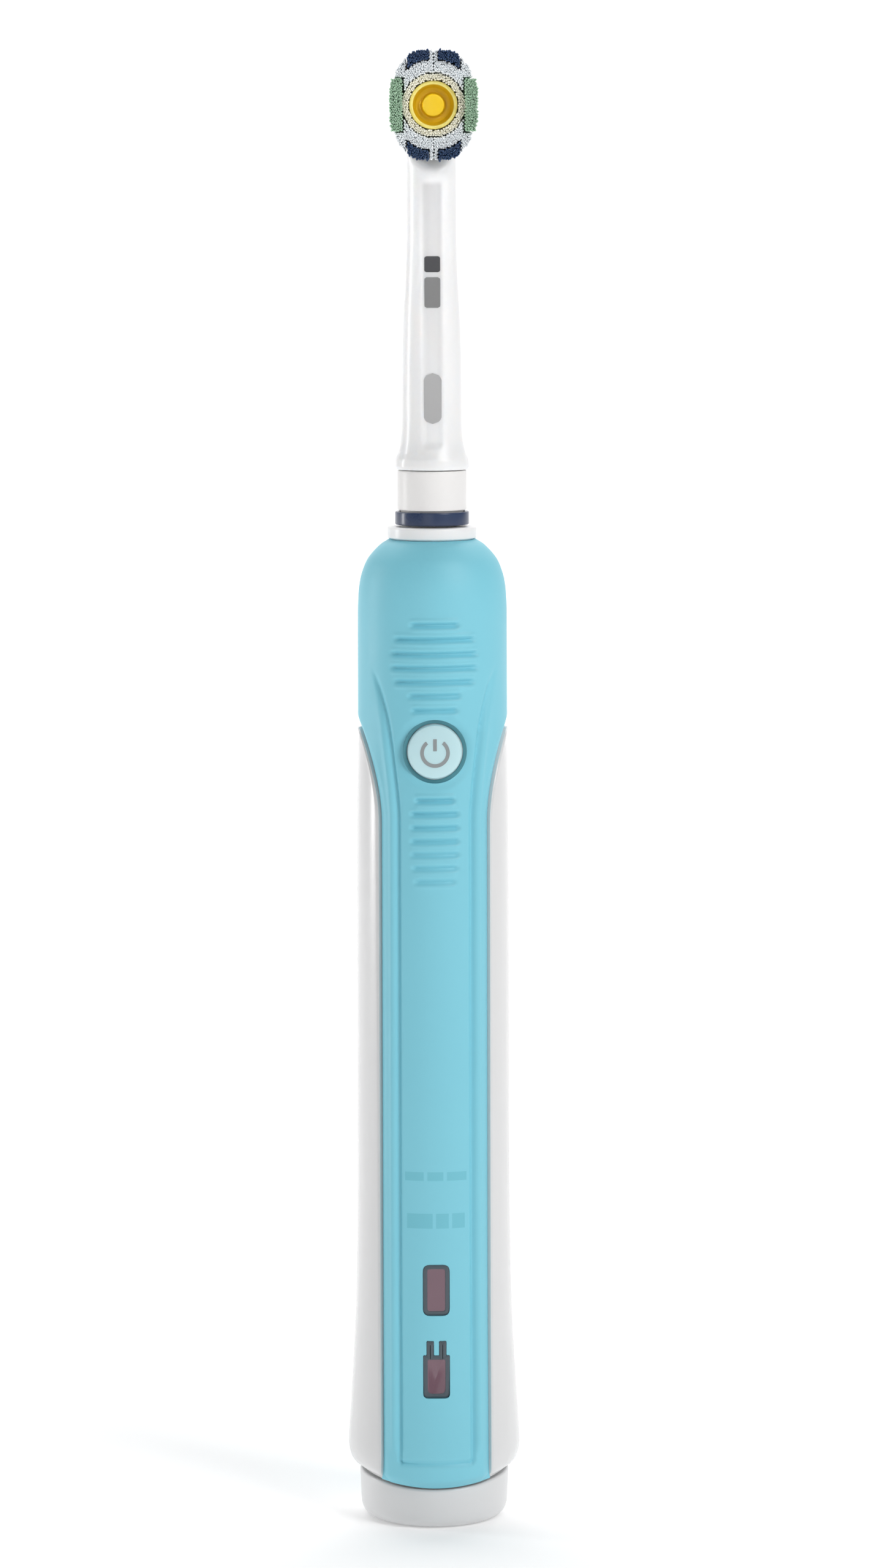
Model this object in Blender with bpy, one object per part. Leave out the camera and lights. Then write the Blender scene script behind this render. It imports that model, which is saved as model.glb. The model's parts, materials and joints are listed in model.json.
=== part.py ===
"""Rechargeable electric toothbrush, standing on its bottom cap.

+Z is up and z = 0 is the underside of the cap. The button and the bristles face -Y.
All sizes below are millimetres. add_piece() turns them into Blender's metres.
"""
import math

import bmesh
import bpy
from mathutils import Matrix, Vector

MM = 0.001
GAP = 0.3  # between pieces that touch on the real brush
ROUND = 36  # sides of the large turned pieces

# ---- driving dimensions of the handle ----
CAP_R = 12.05
SEAM_Z = 6.9  # lower edge of the housing at the front and the back
SEAM_RISE = 1.75  # how much higher that edge is at the sides
WIDEST_R = 13.9
BORE_R = 9.6  # the tube's inside, which the chassis slides into
CHASSIS_R = 9.3
SKIN = 0.9  # thickness of the soft overmould
PANEL_HALF = 9.0  # half the width of the blue front and back panels
WINDOW_TOP = 128.6  # tip of the white side windows
WINDOW_ARCH = 14.6  # height of the arch that ends each side window
SKIN_TOP = (7.5, 158.6)  # radius and height of the overmould's top edge
NECK_R = 7.15
NECK_TOP = 160.65
BOSS_R = 4.0
BOSS_TOP = 162.4

# ---- button, light guides ----
BUTTON_Z = 125.7
BUTTON_R = 4.35
BUTTON_FACE = 12.2  # distance of the button's face from the axis
WINDOW_HALF = 2.0
BATTERY_WINDOW = (35.3, 43.3)
PLUG_WINDOW = (22.0, 28.7)
PRONG_TOP = 31.0

# ---- charging socket and cap ----
SOCKET_R = 4.0
SOCKET_DEPTH = 14.6
SLEEVE_R = 5.2
SLEEVE_TOP = 15.8
CAP_NECK_TOP = 15.0
RING_GROOVE_Z = 11.5
COIL_Z = (3.6, 14.1)

# ---- power pack on the chassis ----
CHASSIS_BOTTOM = 16.3
BATTERY_R = 7.15
BATTERY_Y = 1.0
BATTERY_Z = (18.5, 68.5)
PARTITION_Z = (70.4, 71.4)
PCB_Y = (-7.6, -6.6)
PCB_HALF = 5.2
PCB_Z = (16.6, 131.0)

# ---- motor, gear pair and rocker ----
MOTOR_X = -1.65
MOTOR_R = 7.4
MOTOR_FLAT = 5.9
MOTOR_Z = (76.3, 98.1)
ENDCAP_Z = (73.4, 76.0)
MOUNT_Z = (98.4, 100.0)
BRACKET_Z = (100.3, 113.2)
GEAR_X = 3.8
GEAR_Z = (101.4, 104.4)
TOOTH_MODULE = 0.45
BACKLASH = 0.16
PINION_TEETH = 8
GEAR_TEETH = 16
CRANK_R = 1.4
ROCKER_Z = (107.5, 109.7)

# ---- drive shaft and bearings ----
SHAFT_R = 1.25
SHAFT_Z = (107.5, 184.0)
SHAFT_FLAT_X = 0.8
LOWER_BEARING_Z = (111.9, 114.6)
UPPER_BEARING_Z = (150.8, 153.9)

# ---- brush head ----
HEAD_BASE_Z = 160.95
COLLAR_R = 5.55
COLLAR_TOP = 169.6
NECK_FOOT_Z = 169.9
DISC_Z = 227.1
CUP_R = 6.3
CUP_FRONT = 1.9  # how far the head's front face is in front of the axis
LINK_OFFSET = 3.0  # the link's pin from the neck's axis, and below the disc's axis
DISC_SEMI = (6.5, 7.75)
DISC_FRONT = 5.4
DISC_BACK = 2.2
BRISTLE_TIP = 13.4
FIELD_SEMI = (7.1, 8.9)
FIELD_SQUARE = 2.6  # 2 is an ellipse, and higher values are squarer
FIELD_LEAN = 0.41  # how much of their distance past the middle ring the tufts gain towards their tips
CUP_OUTER_R = 3.8


# ---------------------------------------------------------------- scene and materials
def clear_scene():
    for item in list(bpy.data.objects):
        bpy.data.objects.remove(item, do_unlink=True)


def new_material(name, colour, roughness, metallic=0.0):
    material = bpy.data.materials.new(name)
    material.use_nodes = True
    shader = material.node_tree.nodes["Principled BSDF"]
    shader.inputs["Base Color"].default_value = (*colour, 1.0)
    shader.inputs["Roughness"].default_value = roughness
    shader.inputs["Metallic"].default_value = metallic
    material.diffuse_color = (*colour, 1.0)
    return material


PALETTE = {
    "white": ((0.80, 0.80, 0.79), 0.30, 0.0),
    "blue_skin": ((0.20, 0.56, 0.66), 0.45, 0.0),
    "navy": ((0.02, 0.04, 0.10), 0.35, 0.0),
    "steel": ((0.60, 0.60, 0.62), 0.25, 1.0),
    "dark_steel": ((0.30, 0.30, 0.32), 0.35, 1.0),
    "brass": ((0.70, 0.50, 0.22), 0.30, 1.0),
    "copper": ((0.72, 0.35, 0.18), 0.35, 1.0),
    "nickel": ((0.65, 0.62, 0.55), 0.35, 1.0),
    "pale_button": ((0.66, 0.86, 0.90), 0.35, 0.0),
    "grey_plastic": ((0.42, 0.43, 0.45), 0.45, 0.0),
    "acetal": ((0.75, 0.74, 0.70), 0.40, 0.0),
    "dark_plastic": ((0.04, 0.04, 0.045), 0.45, 0.0),
    "light_guide": ((0.20, 0.13, 0.17), 0.25, 0.0),
    "rubber": ((0.10, 0.10, 0.11), 0.70, 0.0),
    "battery_sleeve": ((0.10, 0.28, 0.18), 0.35, 0.0),
    "board": ((0.03, 0.20, 0.09), 0.45, 0.0),
    "ferrite": ((0.10, 0.09, 0.09), 0.55, 0.0),
    "led": ((0.85, 0.84, 0.70), 0.25, 0.0),
    "lead_red": ((0.55, 0.04, 0.03), 0.45, 0.0),
    "yellow_rubber": ((0.86, 0.57, 0.02), 0.40, 0.0),
    "bristle_blue": ((0.03, 0.08, 0.15), 0.45, 0.0),
    "bristle_green": ((0.25, 0.42, 0.28), 0.45, 0.0),
    "bristle_white": ((0.82, 0.84, 0.84), 0.45, 0.0),
}
MATERIALS = {}


# ---------------------------------------------------------------- building blocks
def add_piece(name, bm, finish, location=(0, 0, 0), rotation=(0, 0, 0), parent=None):
    """Make one named object from a bmesh in millimetres."""
    bmesh.ops.recalc_face_normals(bm, faces=bm.faces)
    bm.transform(Matrix.Scale(MM, 4))
    mesh = bpy.data.meshes.new(name)
    bm.to_mesh(mesh)
    bm.free()
    mesh.shade_smooth()
    mesh.set_sharp_from_angle(angle=math.radians(35))
    piece = bpy.data.objects.new(name, mesh)
    bpy.context.collection.objects.link(piece)
    if finish:
        mesh.materials.append(MATERIALS[finish])
    piece.location = Vector(location) * MM
    piece.rotation_euler = rotation
    piece.parent = parent
    return piece


def add_axis(name, location, parent=None):
    """An empty on a joint's axis, which the moving pieces hang from."""
    empty = bpy.data.objects.new(name, None)
    bpy.context.collection.objects.link(empty)
    empty.empty_display_size = 5 * MM
    empty.location = Vector(location) * MM
    empty.parent = parent
    return empty


def turned(outline, segments=32):
    """Turn a closed (radius, z) outline round Z."""
    bm = bmesh.new()
    rings = []
    for radius, z in outline:
        if radius < 1e-6:
            rings.append([bm.verts.new((0, 0, z))])
            continue
        turns = [2 * math.pi * i / segments for i in range(segments)]
        rings.append([bm.verts.new((radius * math.cos(a), radius * math.sin(a), z)) for a in turns])
    for low, high in zip(rings, rings[1:] + rings[:1]):
        if len(low) == 1 and len(high) == 1:
            continue
        for i in range(segments):
            j = (i + 1) % segments
            corners = [low[i % len(low)], low[j % len(low)], high[j % len(high)], high[i % len(high)]]
            bm.faces.new(list(dict.fromkeys(corners)))
    return bm


def prism(outline, low, high, far_outline=None):
    """Extrude an (x, y) outline from z = low to z = high, where it may end as another outline."""
    bm = bmesh.new()
    near = [bm.verts.new((x, y, low)) for x, y in outline]
    far = [bm.verts.new((x, y, high)) for x, y in far_outline or outline]
    bm.faces.new(near)
    bm.faces.new(far)
    for i in range(len(outline)):
        j = (i + 1) % len(outline)
        bm.faces.new((near[i], near[j], far[j], far[i]))
    return bm


def block(low, high):
    """A box between two corners."""
    outline = [(low[0], low[1]), (high[0], low[1]), (high[0], high[1]), (low[0], high[1])]
    return prism(outline, low[2], high[2])


def cylinder(radius, low, high, segments=24):
    return turned([(0, low), (radius, low), (radius, high), (0, high)], segments)


def tube(inner, outer, low, high, segments=24):
    return turned([(inner, low), (outer, low), (outer, high), (inner, high)], segments)


def arc(radius, start, end, steps, centre=(0, 0)):
    """Points on a circle, angles in degrees."""
    angles = [math.radians(start + (end - start) * i / steps) for i in range(steps + 1)]
    return [(centre[0] + radius * math.cos(a), centre[1] + radius * math.sin(a)) for a in angles]


def offset_inward(outline, distance):
    """Move an open (radius, z) profile that runs upwards to its inner side."""
    moved = []
    for i, point in enumerate(outline):
        before = Vector(outline[max(i - 1, 0)])
        after = Vector(outline[min(i + 1, len(outline) - 1)])
        along = (after - before).normalized()
        moved.append((point[0] - along.y * distance, point[1] + along.x * distance))
    return moved


def flip_to_front():
    """The rotation that lays a piece modelled along Z along -Y, with its own Y upwards."""
    return (math.radians(90), 0, 0)


def boolean(target, other, operation):
    """Combine a hidden helper object with the target."""
    other.hide_render = True
    other.display_type = "WIRE"
    step = target.modifiers.new(operation.lower(), "BOOLEAN")
    step.operation = operation
    step.object = other
    step.solver = "EXACT"
    return target


def cut(target, *cutters):
    for cutter in cutters:
        boolean(target, cutter, "DIFFERENCE")
    return target


def join(target, *others):
    for other in others:
        boolean(target, other, "UNION")
    return target


def chassis_outline(radius, front):
    """A circle with its front cut off flat at y = front."""
    edge = math.degrees(math.asin(front / radius))
    return arc(radius, edge, 180 - edge, 28)


def tooth_outline(teeth):
    """A spur gear's outline, with straight-sided teeth thinned by the backlash."""
    pitch_r = TOOTH_MODULE * teeth / 2
    tip_r = pitch_r + 0.85 * TOOTH_MODULE
    root_r = pitch_r - 1.2 * TOOTH_MODULE
    half_pitch = math.pi / (2 * teeth)
    half_tooth = half_pitch - BACKLASH / (2 * pitch_r)
    points = []
    for tooth in range(teeth):
        middle = 2 * math.pi * tooth / teeth
        for radius, turn in (
            (root_r, -1.25 * half_tooth),
            (pitch_r, -half_tooth),
            (tip_r, -0.45 * half_tooth),
            (tip_r, 0.45 * half_tooth),
            (pitch_r, half_tooth),
            (root_r, 1.25 * half_tooth),
        ):
            points.append((radius * math.cos(middle + turn), radius * math.sin(middle + turn)))
    return points


# ---------------------------------------------------------------- handle casing
def handle_profile():
    """Outer (radius, z) profile of the handle, from the seam up to the overmould's top edge."""
    skirt = [(12.55, 4.5), (12.95, 7.4), (13.6, 9.4), (WIDEST_R, 12.2)]
    tube_part = [(13.42, 22.2), (12.75, 37.4), (12.35, 57.0), (12.2, 115.0)]
    bulb = [(11.9, 132.0), (11.9, 146.8), (11.5, 152.2), (10.6, 155.0), (9.2, 156.9), SKIN_TOP]
    return skirt + tube_part + bulb


def seam_cutter(name, lift):
    """Everything below the wavy seam, whose height depends only on x."""
    span = 16.0
    steps = 14
    outline = [(span, -5.0), (-span, -5.0)]
    for i in range(steps + 1):
        x = -span + 2 * span * i / steps
        outline.append((x, SEAM_Z + lift + SEAM_RISE * (x / WIDEST_R) ** 2))
    return add_piece(name, prism(outline, -span, span), None, rotation=flip_to_front())


def side_window_cutter(name, side, margin):
    """The white side window, seen from the front: everything beyond the panel's edge.

    The edge is straight along the tube and closes in an arch at the top, where it
    meets the silhouette of the dome.
    """
    radius = 12.2
    reach = 20.0
    half_depth = math.sqrt(radius**2 - PANEL_HALF**2)
    start = WINDOW_TOP - WINDOW_ARCH
    outline = [(side * reach, 0.0), (side * (PANEL_HALF + margin), 0.0)]
    steps = 10
    for i in range(steps + 1):
        turn = math.radians(90 * i / steps)
        depth = half_depth * math.cos(turn)
        x = math.sqrt(radius**2 - depth**2) + margin
        outline.append((side * x, start + WINDOW_ARCH * math.sin(turn) - margin))
    outline.append((side * reach, WINDOW_TOP - margin))
    return add_piece(name, prism(outline, -20.0, 20.0), None, rotation=flip_to_front())


def front_hole(name, outline, depth_in, depth_out, z):
    """A cutter along Y through the front wall."""
    return add_piece(
        name, prism(outline, depth_in, depth_out), None, (0, 0, z), flip_to_front()
    )


def window_outline(half, low, high):
    return [(-half, low), (half, low), (half, high), (-half, high)]


def plug_outline(margin):
    """A plug: a block with two prongs on top, and everything wider by the margin."""
    half = WINDOW_HALF + margin
    low = PLUG_WINDOW[0] - margin
    shoulder = PLUG_WINDOW[1] + margin
    top = PRONG_TOP + margin
    inner = 0.55 - margin
    outer = 1.45 + margin
    return [
        (-half, low),
        (half, low),
        (half, shoulder),
        (outer, shoulder),
        (outer, top),
        (inner, top),
        (inner, shoulder),
        (-inner, shoulder),
        (-inner, top),
        (-outer, top),
        (-outer, shoulder),
        (-half, shoulder),
    ]


def front_wall_cutters(tag, button_radius):
    """The holes for the button and the two light guides."""
    button = front_hole(f"cut_button_{tag}", arc(button_radius, 0, 345, 23), 5.0, 16.0, BUTTON_Z)
    battery = front_hole(
        f"cut_battery_{tag}",
        window_outline(WINDOW_HALF + GAP, BATTERY_WINDOW[0] - GAP, BATTERY_WINDOW[1] + GAP),
        5.0,
        16.0,
        0,
    )
    plug = front_hole(f"cut_plug_{tag}", plug_outline(GAP), 5.0, 16.0, 0)
    return button, battery, plug


def overmould_solid(name, finish, inner, outer, profile):
    """A sleeve between two offsets of the handle's profile."""
    outline = offset_inward(profile, outer) + offset_inward(profile, inner)[::-1]
    return add_piece(name, turned(outline, ROUND), finish)


def make_housing():
    outside = handle_profile()
    edge = (SKIN_TOP[0] - GAP, SKIN_TOP[1] + GAP)
    collar = [edge, (NECK_R, 160.4), (6.9, NECK_TOP), (BOSS_R, NECK_TOP)]
    boss = [(BOSS_R, BOSS_TOP), (3.4, BOSS_TOP), (3.4, 154.2), (4.5, 154.2), (4.5, 151.0)]
    bore = [(BORE_R, 146.0), (BORE_R, 4.5)]
    shell = add_piece("housing_shell", turned(outside + collar + boss + bore, ROUND), "white")
    recess = overmould_solid("cut_skin_recess", None, SKIN + GAP, -4.0, outside + [edge])
    cut(
        recess,
        side_window_cutter("cut_recess_left", -1, GAP),
        side_window_cutter("cut_recess_right", 1, GAP),
    )
    cut(shell, recess)
    cut(shell, seam_cutter("cut_seam_shell", 0.0))
    cut(shell, *front_wall_cutters("shell", BUTTON_R + GAP))
    return shell


def make_overmould():
    skin = overmould_solid("grip_overmould", "blue_skin", SKIN, 0.0, handle_profile())
    cut(
        skin,
        side_window_cutter("cut_skin_left", -1, 0.0),
        side_window_cutter("cut_skin_right", 1, 0.0),
        seam_cutter("cut_seam_skin", 0.0),
        *front_wall_cutters("skin", 5.1),
    )
    return skin


def make_light_guides():
    battery = window_outline(WINDOW_HALF, *BATTERY_WINDOW)
    add_piece(
        "battery_window", prism(battery, 9.2, 12.45), "light_guide", rotation=flip_to_front()
    )
    add_piece(
        "plug_window", prism(plug_outline(0.0), 9.2, 12.95), "light_guide", rotation=flip_to_front()
    )


def make_button():
    """A button with a stem that reaches to the switch. Its axis empty slides along Y."""
    axis = add_axis("button_axis", (0, 0, BUTTON_Z))
    cap = [(0, 9.55), (0.9, 9.55), (0.9, 10.6), (BUTTON_R, 10.6), (BUTTON_R, 11.9), (4.0, BUTTON_FACE)]
    add_piece(
        "power_button",
        turned(cap + [(0, BUTTON_FACE)], 28),
        "pale_button",
        rotation=flip_to_front(),
        parent=axis,
    )
    add_piece(
        "switch_plunger", cylinder(0.9, 8.3, 9.25, 16), "dark_plastic", rotation=flip_to_front(), parent=axis
    )


# ---------------------------------------------------------------- bottom cap and charging coil
def make_cap():
    axis = add_axis("cap_axis", (0, 0, 0))
    rim = SEAM_Z - GAP
    outside = [(SOCKET_R, 0), (10.3, 0), (11.5, 0.5), (CAP_R, 1.8), (CAP_R, rim + SEAM_RISE)]
    neck_r = CHASSIS_R
    groove = [
        (neck_r, rim + SEAM_RISE),
        (neck_r, RING_GROOVE_Z - 0.8),
        (8.2, RING_GROOVE_Z - 0.8),
        (8.2, RING_GROOVE_Z + 0.8),
        (neck_r, RING_GROOVE_Z + 0.8),
        (neck_r, CAP_NECK_TOP),
        (7.6, CAP_NECK_TOP),
    ]
    inside = [(7.6, 3.0), (SLEEVE_R, 3.0), (SLEEVE_R, SLEEVE_TOP), (0, SLEEVE_TOP)]
    socket = [(0, SOCKET_DEPTH), (SOCKET_R, SOCKET_DEPTH)]
    cap = add_piece("bottom_cap", turned(outside + groove + inside + socket, 32), "white", parent=axis)
    cut(cap, cap_rim_cutter())
    ring = arc(0.45, 0, 315, 7, (8.95, RING_GROOVE_Z))
    add_piece("cap_o_ring", turned(ring, 28), "rubber", parent=axis)


def cap_rim_cutter():
    """Trims the cap's rim to the wave of the seam, outside its neck."""
    span = 16.0
    steps = 14
    outline = []
    for i in range(steps + 1):
        x = -span + 2 * span * i / steps
        outline.append((x, SEAM_Z - GAP + SEAM_RISE * (x / WIDEST_R) ** 2))
    outline += [(span, 16.0), (-span, 16.0)]
    cutter = add_piece("cut_cap_rim", prism(outline, -span, span), None, rotation=flip_to_front())
    return cut(cutter, add_piece("keep_cap_neck", cylinder(CHASSIS_R + 0.01, -10, 20, 32), None))


def make_charging_coil():
    low, high = COIL_Z
    lower_flange = [(5.5, low), (7.3, low), (7.3, low + 0.7), (6.0, low + 0.7)]
    upper_flange = [(6.0, high - 0.7), (7.3, high - 0.7), (7.3, high), (5.5, high)]
    add_piece("coil_bobbin", turned(lower_flange + upper_flange, 24), "grey_plastic")
    add_piece("receiver_coil", tube(6.3, 7.1, low + 1.0, high - 1.0, 24), "copper")


# ---------------------------------------------------------------- chassis, battery and board
def make_chassis():
    body = prism(chassis_outline(CHASSIS_R, -5.7), CHASSIS_BOTTOM, MOUNT_Z[1])
    chassis = add_piece("chassis_frame", body, "grey_plastic")
    cradle = arc(BATTERY_R + GAP, 0, 180, 24, (0, BATTERY_Y))
    pocket = [(-12, BATTERY_Y), (-12, -12), (12, -12), (12, BATTERY_Y)] + cradle
    battery_pocket = prism(pocket, CHASSIS_BOTTOM + 1.2, PARTITION_Z[0])
    motor_pocket = block((-12, -12, PARTITION_Z[1]), (12, MOTOR_FLAT + GAP, MOUNT_Z[0]))
    cut(
        chassis,
        add_piece("cut_battery_bay", battery_pocket, None),
        add_piece("cut_motor_bay", motor_pocket, None),
        add_piece("cut_boss_hole", cylinder(2.3, 97, 101), None, (MOTOR_X, 0, 0)),
    )
    for side in (-1, 1):
        hole = cylinder(0.75, MOUNT_Z[1] - 3.8, MOUNT_Z[1] + 1, 12)
        cut(chassis, add_piece(f"cut_pilot_{side}", hole, None, (side * 4.2, 7.0, 0)))


def make_battery():
    low, high = BATTERY_Z
    radius = BATTERY_R
    outline = [(0, low), (radius - 0.4, low), (radius, low + 0.4), (radius, high - 0.4), (radius - 0.4, high)]
    button_end = [(2.7, high), (2.7, high + 0.8), (0, high + 0.8)]
    add_piece("battery_cell", turned(outline + button_end, 28), "battery_sleeve", (0, BATTERY_Y, 0))
    make_strip("battery_tab_plus", high + 1.0, 1, 2.7)
    make_strip("battery_tab_minus", low - 0.2, -1, 1.5)


def make_strip(name, contact_z, way, leg):
    """A strip along a battery end, bent up or down where it meets the board."""
    thick = 0.25
    bend_y = PCB_Y[1] + GAP
    flat = [(4.0, contact_z), (4.0, contact_z + way * thick), (bend_y + thick, contact_z + way * thick)]
    tip = [(bend_y + thick, contact_z + way * leg), (bend_y, contact_z + way * leg), (bend_y, contact_z)]
    bm = prism(flat + tip, -1.5, 1.5)
    bm.transform(Matrix(((0, 0, 1, 0), (1, 0, 0, 0), (0, 1, 0, 0), (0, 0, 0, 1))))
    add_piece(name, bm, "nickel")


def make_board():
    front, back = PCB_Y
    low, high = PCB_Z
    add_piece("main_pcb", block((-PCB_HALF, front, low), (PCB_HALF, back, high)), "board")
    face = front - 0.1
    switch = block((-3.0, face - 1.0, BUTTON_Z - 3.0), (3.0, face, BUTTON_Z + 3.0))
    tact_switch = add_piece("tact_switch", switch, "dark_plastic")
    well = cylinder(1.2, 7.75, 12.0, 16)
    cut(tact_switch, add_piece("cut_switch_well", well, None, (0, 0, BUTTON_Z), flip_to_front()))
    for name, z, x, half, height, finish in (
        ("charge_led", 25.5, 0.0, (1.0, 0.8), 0.8, "led"),
        ("low_battery_led", 39.3, 0.0, (1.0, 0.8), 0.8, "led"),
        ("controller_chip", 57.0, 0.0, (2.6, 3.2), 1.1, "dark_plastic"),
        ("capacitor", 84.0, 1.5, (1.4, 1.8), 1.3, "dark_plastic"),
    ):
        shape = block((x - half[0], face - height, z - half[1]), (x + half[0], face, z + half[1]))
        add_piece(name, shape, finish)


def make_lead(name, route, radius, finish):
    """A wire: a bevelled curve through hand-placed points, closed at both ends."""
    curve = bpy.data.curves.new(name, "CURVE")
    curve.dimensions = "3D"
    curve.bevel_depth = radius * MM
    curve.bevel_resolution = 1
    curve.use_fill_caps = True
    spline = curve.splines.new("POLY")
    spline.points.add(len(route) - 1)
    for point, place in zip(spline.points, route):
        point.co = (*(Vector(place) * MM), 1.0)
    curve.materials.append(MATERIALS[finish])
    lead = bpy.data.objects.new(name, curve)
    bpy.context.collection.objects.link(lead)


def make_leads():
    """Two wires from the coil to the board's foot and two from the motor, as (y, z) routes."""
    coil_route = [(-6.2, 14.8), (-6.7, 15.3), (-7.5, 15.8), (-8.3, 16.5), (-8.3, 19.0)]
    motor_route = [(-2.6, 72.7), (-3.6, 72.5), (-4.6, 72.3), (-6.1, 72.2)]
    for side, tag in ((-1, "left"), (1, "right")):
        make_lead(f"coil_lead_{tag}", [(side * 2.2, y, z) for y, z in coil_route], 0.3, "copper")
        make_lead(f"motor_lead_{tag}", [(side * 3.4, y, z) for y, z in motor_route], 0.3, "lead_red")


# ---------------------------------------------------------------- motor and transmission
def motor_outline(wall):
    """The flat-sided can: two arcs joined by flats at the front and the back."""
    radius = MOTOR_R - wall
    edge = math.degrees(math.asin((MOTOR_FLAT - wall) / radius))
    return arc(radius, -edge, edge, 10) + arc(radius, 180 - edge, 180 + edge, 10)


def make_motor():
    low, high = MOTOR_Z
    can = add_piece("motor_can", prism(motor_outline(0), low, high), "steel", (MOTOR_X, 0, 0))
    cut(
        can,
        add_piece("cut_can_inside", prism(motor_outline(0.6), low - 1, high - 0.8), None, (MOTOR_X, 0, 0)),
        add_piece("cut_can_hole", cylinder(1.0, high - 2, high + 1, 16), None, (MOTOR_X, 0, 0)),
    )
    endcap = add_piece("motor_endcap", prism(motor_outline(0.2), *ENDCAP_Z), "dark_plastic", (MOTOR_X, 0, 0))
    cut(endcap, add_piece("cut_endcap_hole", cylinder(1.0, ENDCAP_Z[0] + 0.8, 78, 16), None, (MOTOR_X, 0, 0)))
    for side, tag in ((0, "right"), (180, "left")):
        outline = arc(6.4, side - 33, side + 33, 8) + arc(5.4, side + 33, side - 33, 8)
        add_piece(f"motor_magnet_{tag}", prism(outline, low + 2, high - 4), "ferrite", (MOTOR_X, 0, 0))
    axis = add_axis("motor_axis", (MOTOR_X, 0, 0))
    shaft = [(0, ENDCAP_Z[0] + 1.2), (0.6, ENDCAP_Z[0] + 1.2), (0.6, 77.0), (2.0, 77.0), (2.0, 78.8)]
    core = [(0.9, 78.8), (0.9, 79.8), (4.9, 79.8), (4.9, 93.0), (0.6, 93.0)]
    tip = [(0.6, GEAR_Z[1] + 0.6), (0, GEAR_Z[1] + 0.6)]
    add_piece("motor_armature", turned(shaft + core + tip, 24), "dark_steel", parent=axis)
    teeth = prism(tooth_outline(PINION_TEETH), *GEAR_Z)
    pinion = add_piece("motor_pinion", teeth, "brass", parent=axis)
    cut(pinion, add_piece("cut_pinion_bore", cylinder(0.75, 100, 106, 16), None, parent=axis))


def make_gear():
    axis = add_axis("gear_axis", (GEAR_X, 0, 0))
    half_tooth = math.pi / GEAR_TEETH
    gear = add_piece(
        "crank_gear",
        prism(tooth_outline(GEAR_TEETH), *GEAR_Z),
        "acetal",
        rotation=(0, 0, half_tooth),
        parent=axis,
    )
    low, high = GEAR_Z
    cut(gear, add_piece("cut_gear_bore", cylinder(0.8, low - 2, high + 2, 16), None, parent=axis))
    pin_place = (0, CRANK_R, 0)
    pin_hole = cylinder(0.5, high - 1.2, high + 1, 16)
    cut(gear, add_piece("cut_pin_hole", pin_hole, None, pin_place, parent=axis))
    top = ROCKER_Z[0] - GAP
    root = [(0, high - 1.0), (0.35, high - 1.0), (0.35, high + 0.2)]
    pin = root + [(0.5, high + 0.2), (0.5, top), (0, top)]
    add_piece("crank_pin", turned(pin, 16), "steel", pin_place, parent=axis)
    foot = MOUNT_Z[1] + 0.1
    stub = [(0, foot), (1.4, foot), (1.4, low - 0.2), (0.6, low - 0.2), (0.6, high + 0.4), (0, high + 0.4)]
    add_piece("gear_axle", turned(stub, 16), "steel", (GEAR_X, 0, 0))


def make_bracket():
    low, high = BRACKET_Z
    bracket = add_piece("gearbox_bracket", prism(chassis_outline(CHASSIS_R, -5.7), low, high), "grey_plastic")
    bay = block((-12, -12, low - 1), (12, 5.6, high - 1.6))
    cut(
        bracket,
        add_piece("cut_gear_bay", bay, None),
        add_piece("cut_bearing_seat", cylinder(2.7, high - 3, high + 1), None),
    )
    for side, tag in ((-1, "left"), (1, "right")):
        place = (side * 4.2, 7.0, 0)
        cut(bracket, add_piece(f"cut_screw_{tag}", cylinder(0.75, low - 1, high + 1, 12), None, place))
        head = [(1.1, high + 0.2), (1.1, high + 0.9), (0.8, high + 1.2), (0, high + 1.2)]
        screw = [(0, MOUNT_Z[1] - 3.4), (0.5, MOUNT_Z[1] - 3.0), (0.5, high + 0.2)] + head
        add_piece(f"bracket_screw_{tag}", turned(screw, 16), "steel", place)


def make_shaft():
    axis = add_axis("shaft_axis", (0, 0, 0))
    low, high = SHAFT_Z
    outline = [
        (0, low),
        (1.0, low),
        (1.0, 111.0),
        (SHAFT_R, 111.0),
        (SHAFT_R, high - 0.5),
        (SHAFT_R - 0.5, high),
        (0, high),
    ]
    shaft = add_piece("drive_shaft", turned(outline, 24), "steel", parent=axis)
    flat = block((SHAFT_FLAT_X, -3, high - 14), (3, 3, high + 1))
    cut(shaft, add_piece("cut_shaft_flat", flat, None, parent=axis))
    hub = arc(1.9, 40, 320, 20)
    lower_prong = [(1.9, -1.9), (6.4, -1.9), (6.4, -0.8), (2.2, -0.8)]
    upper_prong = [(x, -y) for x, y in reversed(lower_prong)]
    rocker = add_piece("rocker_arm", prism(hub + lower_prong + upper_prong, *ROCKER_Z), "acetal", parent=axis)
    bore = cylinder(1.15, ROCKER_Z[0] - 1, ROCKER_Z[1] + 1, 24)
    cut(rocker, add_piece("cut_rocker_bore", bore, None, parent=axis))


def make_bearings():
    low, high = LOWER_BEARING_Z
    flange = [(1.5, low), (2.4, low), (2.4, high - 0.9), (3.6, high - 0.9), (3.6, high), (1.5, high)]
    add_piece("lower_bearing", turned(flange, 24), "brass")
    low, high = UPPER_BEARING_Z
    add_piece("upper_bearing", tube(1.5, 4.2, low, high, 24), "brass")
    body = [(1.55, 154.5), (3.1, 154.5), (3.1, 161.9), (2.6, 162.2)]
    lips = [(1.55, 161.6), (1.55, 159.0), (2.1, 158.4), (2.1, 156.0), (1.55, 155.4)]
    add_piece("shaft_seal", turned(body + lips, 24), "rubber")


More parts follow.
